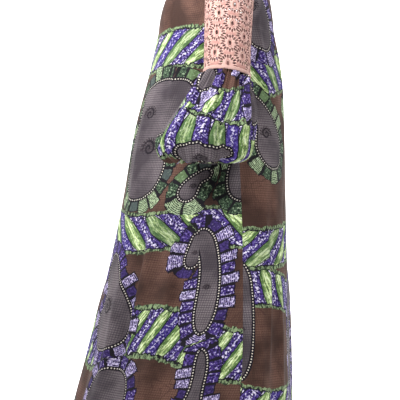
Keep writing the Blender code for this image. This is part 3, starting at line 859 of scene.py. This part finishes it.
# Lace upper sleeves. Pink cotton eyelet lace, worked in half-dropped columns of round medallions, each with
# an open oval middle and a ring of open slots. Each is one tube, set into the armhole and seamed down its inner side.
LACE_THICKNESS = 0.0012
LACE_ROUND = 0.060
ELBOW = (0.306, 0.000, -0.368)
ELBOW_HALF_X = 0.055
ELBOW_HALF_Y = 0.058
ELBOW_RISE_OUT = 0.25
ELBOW_DROP_BACK = 0.12
SLEEVE_LEAN = 0.22
CAP_START_TOP = 0.13
CAP_START_UNDER = 0.05
LACE_TURNS = 241
LACE_SHARES = 97
lace_turns = np.linspace(-math.pi, math.pi, LACE_TURNS)

MEDALLION_COLUMNS = 10
MEDALLION_STEP = 0.0545
MEDALLION_FIRST = 0.011
MEDALLION_LEAN = 0.095
MEDALLION_ROOM = 0.018
SEAM_ROOM = 0.0035
OVAL_ROOM = 0.0070
SLOT_ROOM = 0.0045
PLAIN_HEM = 0.0065
OVAL_HALF_WIDTH = 0.0024
OVAL_HALF_HEIGHT = 0.0050
SLOTS = 18
SLOT_RADIUS = 0.0176
SLOT_STAGGER = 0.0024
SLOT_HALF_LENGTH = 0.0037
SLOT_HALF_WIDTH = 0.00165
PINK = dye(186, 146, 138)
PALE_PINK = dye(208, 176, 166)
ROSE = dye(160, 110, 101)
# Dark brown painted round the open holes of the lace, as painted shade
PAINTED_HOLE_SHADE = dye(96, 56, 52)


def armhole_edge(turns):
    """The armhole, from the shoulder at turn 0 round by the front."""
    turns = turns % (2 * math.pi)
    down = np.minimum(turns, 2 * math.pi - turns) / math.pi
    side_edge = np.ones_like(turns)
    in_front = yoke_surface(FRONT, side_edge, down)
    behind = yoke_surface(BACK, side_edge, down)
    return np.where((turns <= math.pi)[:, None], in_front, behind)


def elbow_edge(turns):
    """Lower edge of the lace, a ring that rises outward and falls backward."""
    x = ELBOW_HALF_X * np.cos(turns)
    y = -ELBOW_HALF_Y * np.sin(turns)
    return np.stack((ELBOW[0] + x, ELBOW[1] + y, ELBOW[2] + ELBOW_RISE_OUT * x - ELBOW_DROP_BACK * y), -1)


def lace_lines():
    """Points down the sleeve at every turn, evenly spaced, and the length of each line."""
    start = armhole_edge(lace_turns) + (0.0003, 0.0, 0.0)
    end = elbow_edge(lace_turns)
    span = np.linalg.norm(end - start, axis=1)[:, None]
    cap = CAP_START_UNDER + (CAP_START_TOP - CAP_START_UNDER) * (1 + np.cos(lace_turns)) / 2
    leave = cap[:, None] * np.array((1.0, 0.0, 0.0))
    arrive = span * np.array((SLEEVE_LEAN, 0.0, -1.0))
    t = np.linspace(0, 1, LACE_SHARES)[None, :, None]
    lines = smooth_curve(start[:, None], leave[:, None], end[:, None], arrive[:, None], t)
    runs = run_along(lines, 1)
    even = [points_at(np.linspace(0, run[-1], LACE_SHARES), run, line) for line, run in zip(lines, runs)]
    return np.array(even), runs[:, -1]


lace_points, lace_lengths = lace_lines()


def lace_height(across):
    """Length of the sleeve at a distance round it from the outer line."""
    return np.interp(across / LACE_ROUND, lace_turns, lace_lengths)


def on_lace(across, rise):
    """Places on the sleeve, by the distance round it from the outer line and the rise from its lower edge."""
    columns = np.clip((across / LACE_ROUND + math.pi) / math.tau, 0, 1) * (LACE_TURNS - 1)
    rows = np.clip(1 - rise / lace_height(across), 0, 1) * (LACE_SHARES - 1)
    left = np.minimum(columns.astype(int), LACE_TURNS - 2)
    top = np.minimum(rows.astype(int), LACE_SHARES - 2)
    u = (columns - left)[:, None]
    v = (rows - top)[:, None]
    upper = lace_points[left, top] * (1 - u) + lace_points[left + 1, top] * u
    lower = lace_points[left, top + 1] * (1 - u) + lace_points[left + 1, top + 1] * u
    return upper * (1 - v) + lower * v


def medallion_middles():
    """Middles of the medallions on the flat lace, in columns that lean a little."""
    middles = []
    for column in range(-MEDALLION_COLUMNS, MEDALLION_COLUMNS + 1):
        foot = column * math.tau / MEDALLION_COLUMNS * LACE_ROUND
        for step in range(MEDALLION_COLUMNS):
            rise = MEDALLION_FIRST + (column % 2) * MEDALLION_STEP / 2 + step * MEDALLION_STEP
            across = foot - MEDALLION_LEAN * rise
            if abs(across) < math.pi * LACE_ROUND + MEDALLION_ROOM and rise < lace_height(across) + MEDALLION_ROOM:
                middles.append((across, rise))
    return np.array(middles)


def lace_holes(middles):
    """The open oval and the open slots of every medallion that lie clear of the edges and the seam."""
    holes = []
    turns = np.arange(12) * math.tau / 12
    oval = np.stack((OVAL_HALF_WIDTH * np.cos(turns), OVAL_HALF_HEIGHT * np.sin(turns)), -1)
    along = np.array((1.0, 0.45, -0.55, -1.0, -0.55, 0.45)) * SLOT_HALF_LENGTH
    wide = np.array((0.0, 0.85, 1.0, 0.0, -1.0, -0.85)) * SLOT_HALF_WIDTH
    shapes = [(oval, OVAL_ROOM)]
    for number in range(SLOTS):
        angle = (number + 0.5) * math.tau / SLOTS
        outward = np.array((math.cos(angle), math.sin(angle)))
        sideways = np.array((-outward[1], outward[0]))
        reach = SLOT_RADIUS + SLOT_STAGGER * (number % 2)
        shapes.append((outward * reach + along[:, None] * outward + wide[:, None] * sideways, SLOT_ROOM))
    for middle in middles:
        for shape, room in shapes:
            hole = middle + shape
            inside = (np.abs(hole[:, 0]) < math.pi * LACE_ROUND - SEAM_ROOM).all()
            above_edge = (hole[:, 1] > max(room, PLAIN_HEM)).all()
            if inside and above_edge and (hole[:, 1] < lace_height(hole[:, 0]) - room).all():
                holes.append(hole)
    return holes


def lace_tube(name):
    """The flat lace with its holes cut, wrapped into a tube."""
    middles = medallion_middles()
    half = math.pi * LACE_ROUND
    across = np.linspace(-half, half, LACE_TURNS)
    seam = np.linspace(0, lace_height(np.array([half]))[0], 42)[1:-1]
    edge = [(x, 0.0) for x in across] + [(half, y) for y in seam]
    edge += [(x, y) for x, y in zip(across[::-1], lace_height(across[::-1]))] + [(-half, y) for y in seam[::-1]]
    flat = [Vector(point) for point in edge]
    loops = [list(range(len(edge)))]
    for hole in lace_holes(middles):
        loops.append(list(range(len(flat), len(flat) + len(hole))))
        flat += [Vector(point) for point in hole]
    for middle in middles:
        for radius, count in ((0.0085, 12), (0.0130, 14)):
            for turn in np.arange(count) * math.tau / count:
                spot = middle + radius * np.array((math.cos(turn), math.sin(turn)))
                if abs(spot[0]) < half - 0.003 and 0.003 < spot[1] < lace_height(spot[:1])[0] - 0.003:
                    flat.append(Vector(spot))
    points, _, faces, _, _, within = delaunay_2d_cdt(flat, [], loops, 1, 1e-7)
    corners = np.array([face[::-1] for face, loop in zip(faces, within) if loop == [0]])
    points = np.array(points)
    piece = new_piece(name, on_lace(points[:, 0], points[:, 1]).tolist(), corners.tolist())
    spots = points[corners]
    away = np.linalg.norm(spots.mean(1)[:, None] - middles[None], axis=-1)
    offset = spots - middles[away.argmin(1)][:, None]
    chart(piece, "medallion", offset[..., 0], offset[..., 1])
    chart(piece, "cloth", spots[..., 0], spots[..., 1])
    seam_closer = piece.modifiers.new("seam", "WELD")
    seam_closer.merge_threshold = 0.00002
    thicken(piece, LACE_THICKNESS)
    return piece


def pink_lace():
    """Cotton eyelet lace: satin-stitched spokes and bound oval middles on a fine open ground, with painted shade in
    dark brown round each open slot and oval.
    """
    material, tree, shader = new_material("pink_lace", 0.8, 0.2)
    x, y = read_chart(tree, "medallion")
    across, rise = read_chart(tree, "cloth")
    radius = (x * x + y * y).root()
    angle = worked_out("ARCTAN2", y, x)
    oval_x = x / OVAL_HALF_WIDTH
    oval_y = y / OVAL_HALF_HEIGHT
    oval = (oval_x * oval_x + oval_y * oval_y).root()
    tuft = mottle(across, rise, 900.0, 2.0, 0.6)
    cloud = mottle(across, rise, 45.0, 2.0)
    bound = (oval < 1.9) * ((angle * 26.0).sine() * 0.25 + 0.75)
    slot_count = angle * (SLOTS / math.tau)
    slot_side = (slot_count.rest() - 0.5) * radius * (math.tau / SLOTS) / SLOT_HALF_WIDTH
    outer_slot = worked_out("FLOORED_MODULO", slot_count.whole(), 2.0) > 0.5
    slot_along = (radius - SLOT_RADIUS - outer_slot * SLOT_STAGGER) / SLOT_HALF_LENGTH
    slot = (slot_side * slot_side + slot_along * slot_along).root()
    spokes = (angle * 36.0).sine() * 0.5 + 0.5
    on_disc = ramp(radius, 0.0050, 0.0075) * (ramp(radius, 0.0150, 0.0175) * -1.0 + 1.0)
    on_ring = ramp(radius, 0.0140, 0.0160) * (ramp(radius, 0.0225, 0.0245) * -1.0 + 1.0)
    disc_height = on_disc * (spokes * 0.30 + 0.10)
    ring_height = on_ring * (ramp(slot, 0.9, 1.7) * 0.55 + 0.20)
    colour = inked(
        PINK,
        (ROSE, ramp(cloud, 0.50, 0.85) * 0.5),
        (dye(226, 202, 178), ramp(cloud * -1.0, -0.46, -0.30) * 0.5),
        (PALE_PINK, on_disc * spokes * 0.75),
        (PALE_PINK, on_ring * ramp(slot, 1.2, 1.8) * 0.55),
        (ROSE, ramp(radius, 0.0235, 0.0250) * ramp(tuft, 0.40, 0.60) * 0.8),
        (ROSE, (oval < 2.4) * (oval > 1.8) * 0.7),
        # Painted shade: dark brown round each open slot and round the open oval
        (PAINTED_HOLE_SHADE, (slot < 1.45) * 0.85),
        (PAINTED_HOLE_SHADE, (oval < 1.35) * 0.85),
    )
    surfaced(shader, colour, bound * 0.9 + disc_height + ring_height + tuft * 0.22, 0.8, 0.0012)
    return material


def other_side(piece, name):
    """The same piece for the right sleeve."""
    twin = piece.copy()
    twin.data = piece.data.copy()
    twin.data.transform(Matrix.Scale(-1.0, 4, (1.0, 0.0, 0.0)))
    twin.data.flip_normals()
    twin.name = name
    twin.data.name = name
    bpy.context.scene.collection.objects.link(twin)
    return twin


def lace_facing(across, rise):
    """Which way the lace faces, out from the sleeve's hollow."""
    step = 0.0015
    up = on_lace(across, rise + step) - on_lace(across, np.maximum(rise - step, 0.0))
    ahead = on_lace(across + step, rise) - on_lace(across - step, rise)
    return unit(np.cross(up, ahead))


def plain_edging():
    """Plain pale cotton, folded over the lace's lower edge."""
    material, tree, shader = new_material("plain_edging", 0.8, 0.2)
    across, rise = read_chart(tree, "cloth")
    rib = (across * (math.tau / RIB_PITCH)).sine() * 0.5 + 0.5
    tuft = mottle(across, rise, 700.0, 2.0, 0.6)
    # The rose where each rib is low, in its grooves, is painted shade
    colour = inked(PALE_PINK, (PINK, ramp(tuft, 0.35, 0.65)), (ROSE, (rib < 0.25) * 0.35))
    surfaced(shader, colour, rib * 0.6 + tuft * 0.5, 0.6, 0.0006)
    return material


# Columns: rise from the lace's lower edge, distance out from the lace
EDGING = (
    (0.0060, 0.0006), (0.0052, 0.0012), (0.0030, 0.0016), (0.0000, 0.0017), (-0.0030, 0.0014), (-0.0040, 0.0003),
    (-0.0036, -0.0012), (-0.0020, -0.0022), (0.0020, -0.0024), (0.0055, -0.0022),
)
EDGING_COLUMNS = 240
EDGING_THICKNESS = 0.0007
EDGING_RIPPLE = 0.0003
RIB_PITCH = 0.0011
EDGING_STITCHES_UP = 0.0040
EDGING_STITCHES_OUT = 0.0018

left_lace = lace_tube("lace_sleeve_left")
left_lace.data.materials.append(pink_lace())

edge_turns = np.linspace(-math.pi, math.pi, EDGING_COLUMNS, endpoint=False)
edge_across = edge_turns * LACE_ROUND
lower_edge = np.zeros(EDGING_COLUMNS)
upward = unit(on_lace(edge_across, lower_edge + 0.004) - on_lace(edge_across, lower_edge))
ripple = EDGING_RIPPLE * (np.sin(edge_turns * 34) + np.sin(edge_turns * 13 + 1.0))
edging_lines = []
for rise, out in EDGING:
    above = np.maximum(rise + ripple, 0.0)
    edging_lines.append(on_lace(edge_across, above) + upward * (rise + ripple - above)[:, None]
                        + lace_facing(edge_across, above) * out)
grid = np.array(edging_lines)
left_edging, corners = sheet_of_cloth("lace_edging_left", grid, True, True, EDGING_THICKNESS)
edging_across = np.broadcast_to(edge_across, grid.shape[:2]).ravel()[corners]
chart(left_edging, "cloth", beside_first(edging_across, math.tau * LACE_ROUND), run_along(grid, 0).ravel()[corners])
left_edging.data.materials.append(plain_edging())

PINK_THREAD = sewing_thread("pink_thread", dye(244, 216, 206), dye(206, 164, 156))
stitch_across = np.linspace(-math.pi, math.pi, 721) * LACE_ROUND
stitch_rises = np.full(721, EDGING_STITCHES_UP)
stitch_facing = lace_facing(stitch_across, stitch_rises)
stitch_path = on_lace(stitch_across, stitch_rises) + stitch_facing * EDGING_STITCHES_OUT
left_row = sewn_row("lace_edging_left_stitches", stitch_path, stitch_facing, PINK_THREAD)

left_pieces = (left_lace, left_edging, left_row)
right_pieces = [other_side(piece, piece.name.replace("left", "right")) for piece in left_pieces]
for pieces, arm in ((left_pieces, "left"), (right_pieces, "right")):
    for piece in pieces:
        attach(piece, "root")
    lace, edging, row = pieces
    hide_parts(f"lace_sleeve_{arm}_outer", f"lace_sleeve_{arm}_inner")


# Balloon lower sleeves. The same printed cotton, cut wide and gathered all round into the lace at the elbow
# and into a narrow band at the wrist. Each is full in front and tucks under to the wrist.
BALLOON_ROWS = 88
BALLOON_COLUMNS = 336
BALLOON_POWER = 0.92
BALLOON_ROUND = 0.098
GATHERS = 28
BROAD_FOLDS = 7
GATHER_UNEVENNESS = 0.3
ELBOW_INSET = 0.0050
ELBOW_ALLOWANCE = 0.006
PUCKER_DEPTH = 0.0022
PUCKER_REACH = 0.24
ELBOW_CREASE_GAIN = 1.9
UNDER_CREASE_GAIN = 2.1
LAST_ROW = 11

# Columns: row, z, front y, back y, inner x, outer x, depth of the gathers, depth of the broad folds, tilt of the ring
BALLOON = (
    (0, -0.3683, -0.0580, 0.0580, 0.251, 0.361, 0.0028, 0.0000, 1.0),
    (-1, -0.3800, -0.0650, 0.0590, 0.251, 0.371, 0.0034, 0.0000, 0.9),
    (-2, -0.4000, -0.0800, 0.0600, 0.254, 0.384, 0.0036, 0.0015, 0.6),
    (-3, -0.4280, -0.1030, 0.0645, 0.259, 0.397, 0.0028, 0.0035, 0.3),
    (-4, -0.4600, -0.1270, 0.0690, 0.267, 0.408, 0.0020, 0.0050, 0.0),
    (-5, -0.4980, -0.1530, 0.0680, 0.277, 0.416, 0.0016, 0.0060, 0.0),
    (-6, -0.5310, -0.1720, 0.0640, 0.284, 0.418, 0.0016, 0.0060, 0.0),
    (-7, -0.5580, -0.1710, 0.0600, 0.288, 0.414, 0.0020, 0.0050, 0.0),
    (-8, -0.5780, -0.1620, 0.0500, 0.289, 0.407, 0.0026, 0.0030, 0.0),
    (-9, -0.5880, -0.1480, 0.0200, 0.291, 0.394, 0.0026, 0.0010, 0.0),
    (-10, -0.5860, -0.1360, -0.0250, 0.297, 0.378, 0.0020, 0.0000, 0.0),
    (-11, -0.5750, -0.1218, -0.0552, 0.3057, 0.3643, 0.0012, 0.0000, 0.0),
)

# Uneven creases from the elbow seam, troughs where the depth is negative
# Columns: turn in degrees from the outer line towards the front, half width in degrees, depth, share of the way down
ELBOW_CREASES = (
    (-168, 9, -0.0045, 0.42), (-141, 6, 0.0030, 0.35), (-118, 8, -0.0050, 0.50), (-96, 6, 0.0030, 0.36),
    (-78, 7, -0.0045, 0.44), (-55, 6, 0.0034, 0.52), (-40, 8, -0.0055, 0.48), (-22, 5, 0.0030, 0.40),
    (-8, 7, -0.0045, 0.56), (11, 5, 0.0032, 0.38), (26, 7, -0.0056, 0.52), (44, 6, 0.0036, 0.58),
    (60, 8, -0.0060, 0.46), (79, 6, 0.0030, 0.40), (98, 8, -0.0050, 0.54), (122, 6, 0.0032, 0.40),
    (146, 8, -0.0046, 0.46), (166, 5, 0.0026, 0.34),
)
# Columns: turn in degrees, half width in degrees, depth, share of the way down where it begins
UNDER_CREASES = (
    (-150, 8, -0.0040, 0.62), (-112, 9, -0.0050, 0.60), (-74, 8, -0.0048, 0.66), (-36, 9, -0.0052, 0.62),
    (-4, 7, -0.0046, 0.68), (30, 8, -0.0056, 0.60), (57, 7, -0.0050, 0.66), (86, 8, -0.0054, 0.62),
    (118, 8, -0.0048, 0.64), (152, 8, -0.0040, 0.62),
)

# The same columns as on the panels, but from the outer line towards the front, and below the elbow seam
BALLOON_PAISLEYS = (
    (0.002, 0.248, 0.120, 0.080, -0.3, -64, 0.60, NO_BLOCKS),
    (0.088, 0.006, 0.150, 0.075, -1.0, 35, 0.45, PURPLE),
    (-0.120, 0.055, 0.170, 0.070, 1.0, 10, 0.45, PURPLE),
    (0.205, 0.120, 0.190, 0.090, 1.0, 10, 0.45, GREEN),
    (-0.245, 0.190, 0.170, 0.080, -1.0, 30, 0.45, GREEN),
)
BALLOON_BANDS = (
    (0.102, 0.046, 0.010, 0.154, 2.39, -0.48, BALLOON_ROUND * math.pi / 11, 0.18),
    (0.206, 0.072, 0.010, 0.308, 2.40, 0.25, BALLOON_ROUND * math.pi / 9, -0.73),
)


def swell(turns, middle, half_width):
    """A soft bump round the sleeve, 1 at its middle."""
    away = (turns - math.radians(middle) + math.pi) % math.tau - math.pi
    return np.exp(-(away / np.radians(half_width)) ** 2 * 1.5)


def balloon_folds(turns, row, share, gather, broad):
    """How far the gathers, broad folds, creases and fine puckers push the cloth out."""
    uneven = 1 + GATHER_UNEVENNESS * np.sin(10 * turns - 0.4 * row)
    wander = 0.5 * np.sin(3 * turns + 1.0) + 0.3 * np.sin(5 * turns)
    ridges = -np.cos(GATHERS * turns + wander * share * 2) * (1 - 0.35 * np.sin(share * math.pi))
    push = gather * uneven * ridges + broad * np.sin(BROAD_FOLDS * turns - 0.25 * row)
    outer_side = 0.55 + 0.45 * np.clip(np.cos(turns) * 2 + 0.6, 0, 1)
    for middle, half_width, depth, reach in ELBOW_CREASES:
        fade = np.clip(1 - share / reach, 0, 1) ** 0.7 * np.clip(share / 0.05, 0, 1) * outer_side
        push = push + ELBOW_CREASE_GAIN * depth * swell(turns, middle, half_width * (1 + 1.4 * share)) * fade
    for middle, half_width, depth, begins in UNDER_CREASES:
        grow = np.sin(np.clip((share - begins) / (1 - begins), 0, 1) * math.pi) ** 0.8 * outer_side
        push = push + UNDER_CREASE_GAIN * depth * swell(turns, middle + 4, half_width) * grow
    near_elbow = np.clip(1 - share / 0.09, 0, 1)
    puckers = np.sin(2 * GATHERS * turns + 1.3 * np.sin(5 * turns)) * (1 + 0.5 * np.sin(9 * turns + 2.0))
    puckers = puckers * np.clip(share / 0.03, 0, 1) * np.clip(1 - share / PUCKER_REACH, 0, 1)
    return push * (1 - 0.6 * near_elbow) - ELBOW_INSET * near_elbow + PUCKER_DEPTH * puckers


def balloon_grid():
    """Points of the balloon from the elbow seam to the wrist, and where each lies on its flat cloth."""
    row = -np.linspace(0, LAST_ROW, BALLOON_ROWS + 1)[:, None]
    share = -row / LAST_ROW
    turns = (np.arange(BALLOON_COLUMNS) * math.tau / BALLOON_COLUMNS)[None, :]
    z, front_y, back_y, inner_x, outer_x, gather, broad, tilt = (through_rows(BALLOON, c, row) for c in range(1, 9))
    power = BALLOON_POWER + (1 - BALLOON_POWER) * tilt
    cosine, sine = np.cos(turns), np.sin(turns)
    x = (outer_x - inner_x) / 2 * np.sign(cosine) * np.abs(cosine) ** power
    y = (front_y - back_y) / 2 * np.sign(sine) * np.abs(sine) ** power
    rise = z + tilt * (ELBOW_RISE_OUT * x - ELBOW_DROP_BACK * y)
    grid = np.stack(((inner_x + outer_x) / 2 + x, (front_y + back_y) / 2 + y, rise), -1)
    grid = grid + surface_normals(grid, True) * balloon_folds(turns, row, share, gather, broad)[..., None]
    grid[..., 2] += ELBOW_ALLOWANCE * np.clip(1 - share / 0.03, 0, 1)
    to_front = np.broadcast_to((turns + math.pi) % math.tau - math.pi, grid.shape[:2]) * BALLOON_ROUND
    return grid, to_front, run_along(grid, 0)


grid, to_front, below = balloon_grid()
left_balloon, corners = sheet_of_cloth("balloon_sleeve_left", grid, True, True, COTTON_THICKNESS)
lay_print(left_balloon, corners, to_front, below, BALLOON_PAISLEYS, BALLOON_BANDS, math.tau * BALLOON_ROUND)
left_balloon.data.materials.append(WAX_PRINT)
right_balloon = other_side(left_balloon, "balloon_sleeve_right")
for balloon, arm in ((left_balloon, "left"), (right_balloon, "right")):
    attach(balloon, "root")
    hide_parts(f"puff_sleeve_{arm}")


# Wrist bands. A narrow doubled band of the same printed cotton draws each balloon in at the wrist.
# The gathers ruche it slightly, and a row of stitches runs along each of its edges.
BAND_MIDDLE = (0.335, -0.0885)
BAND_HALF_X = 0.0287
BAND_HALF_Y = 0.0327
BAND_TOP_Z = -0.5685
BAND_HEIGHT = 0.0132
BAND_THICKNESS = 0.0018
BAND_ROUND = 0.031
BAND_ROWS = 9
BAND_COLUMNS = 144
BAND_STITCH_ROWS = (("upper", 1), ("lower", 7))
# One row of leaves, and one paisley so far off that it doesn't show
BAND_PAISLEYS = ((0.0, -0.4, 0.1, 0.05, 1, 0, 0.5, PURPLE),)
BAND_LEAVES = ((0.007, 0.030, 0.0, 0.1, 0.0, 1.0, 0.0325, 0.0),)

turns = (np.arange(BAND_COLUMNS) * math.tau / BAND_COLUMNS)[None, :]
share = np.linspace(0, 1, BAND_ROWS)[:, None]
ruching = -0.0009 * (2 * share - 1) ** 2 + 0.00035 * np.sin(GATHERS * turns) * (1 - share)
grid = np.stack((BAND_MIDDLE[0] + (BAND_HALF_X + ruching) * np.cos(turns),
                 BAND_MIDDLE[1] - (BAND_HALF_Y + ruching) * np.sin(turns),
                 BAND_TOP_Z - BAND_HEIGHT * share + 0 * turns), -1)
left_band, corners = sheet_of_cloth("wrist_band_left", grid, True, True, BAND_THICKNESS)
to_front = np.broadcast_to((turns + math.pi) % math.tau - math.pi, grid.shape[:2]) * BAND_ROUND
lay_print(left_band, corners, to_front, run_along(grid, 0), BAND_PAISLEYS, BAND_LEAVES, math.tau * BAND_ROUND)
left_band.data.materials.append(WAX_PRINT)
facing = surface_normals(grid, True)
left_rows = []
for place, row in BAND_STITCH_ROWS:
    closed, closed_facing = (np.concatenate((values[row], values[row, :1])) for values in (grid, facing))
    left_rows.append(sewn_row(f"wrist_band_left_{place}_stitches", closed, closed_facing, BROWN_THREAD))

right_band = other_side(left_band, "wrist_band_right")
right_rows = [other_side(row, row.name.replace("left", "right")) for row in left_rows]
for band, rows, arm in ((left_band, left_rows, "left"), (right_band, right_rows, "right")):
    for piece in [band] + rows:
        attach(piece, "root")
    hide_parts(f"cuff_{arm}")


# Floor and backdrop. One pale sheet of studio paper lies under the dress and curves up behind it.
# White lamps light the dress: a key and a low side lamp from the front, and a high fill from behind.
FLOOR_Z = -1.40
PAPER_HALF_WIDTH = 5.0
PAPER_CURVE = 1.2
curve = [(-4.0 - PAPER_CURVE * math.sin(a), FLOOR_Z + PAPER_CURVE - PAPER_CURVE * math.cos(a))
         for a in np.linspace(0, math.pi / 2, 9)]
profile = [(5.0, FLOOR_Z)] + curve + [(-5.2, 4.0)]
studio_paper = new_piece("studio_paper", [(x, y, z) for x, z in profile for y in (-PAPER_HALF_WIDTH, PAPER_HALF_WIDTH)],
                         [(2 * i, 2 * i + 2, 2 * i + 3, 2 * i + 1) for i in range(len(profile) - 1)])
white_paper, _, shader = new_material("white_paper", 0.9)
shader.inputs["Base Color"].default_value = (0.93, 0.93, 0.93, 1.0)
studio_paper.data.materials.append(white_paper)

world = bpy.data.worlds.new("studio")
world.use_nodes = True
world.node_tree.nodes["Background"].inputs["Color"].default_value = (1.0, 1.0, 1.0, 1.0)
world.node_tree.nodes["Background"].inputs["Strength"].default_value = 0.11
bpy.context.scene.world = world
bpy.context.scene.view_settings.view_transform = "Standard"

# Columns: name, place, where it aims, size, power in watts, spread in degrees
LAMPS = (
    ("key", (1.75, -1.95, 1.35), (0.2, -0.1, 0.25), 1.0, 25.0, 60.0),
    ("fill", (1.9, 1.8, 2.8), (0.0, 0.1, -0.3), 0.8, 151.0, 180.0),
    ("side", (0.1, -2.9, -0.5), (0.35, -0.2, -0.9), 0.5, 16.0, 180.0),
    ("backdrop", (-1.6, 0.0, 2.6), (-4.4, 0.0, -0.6), 3.0, 500.0, 180.0),
)
for name, place, aim, size, power, spread in LAMPS:
    lamp = bpy.data.lights.new(name, "AREA")
    lamp.size = size
    lamp.energy = power
    lamp.spread = math.radians(spread)
    light = bpy.data.objects.new(name, lamp)
    light.location = place
    light.rotation_euler = (Vector(aim) - Vector(place)).to_track_quat("-Z", "Y").to_euler()
    bpy.context.scene.collection.objects.link(light)
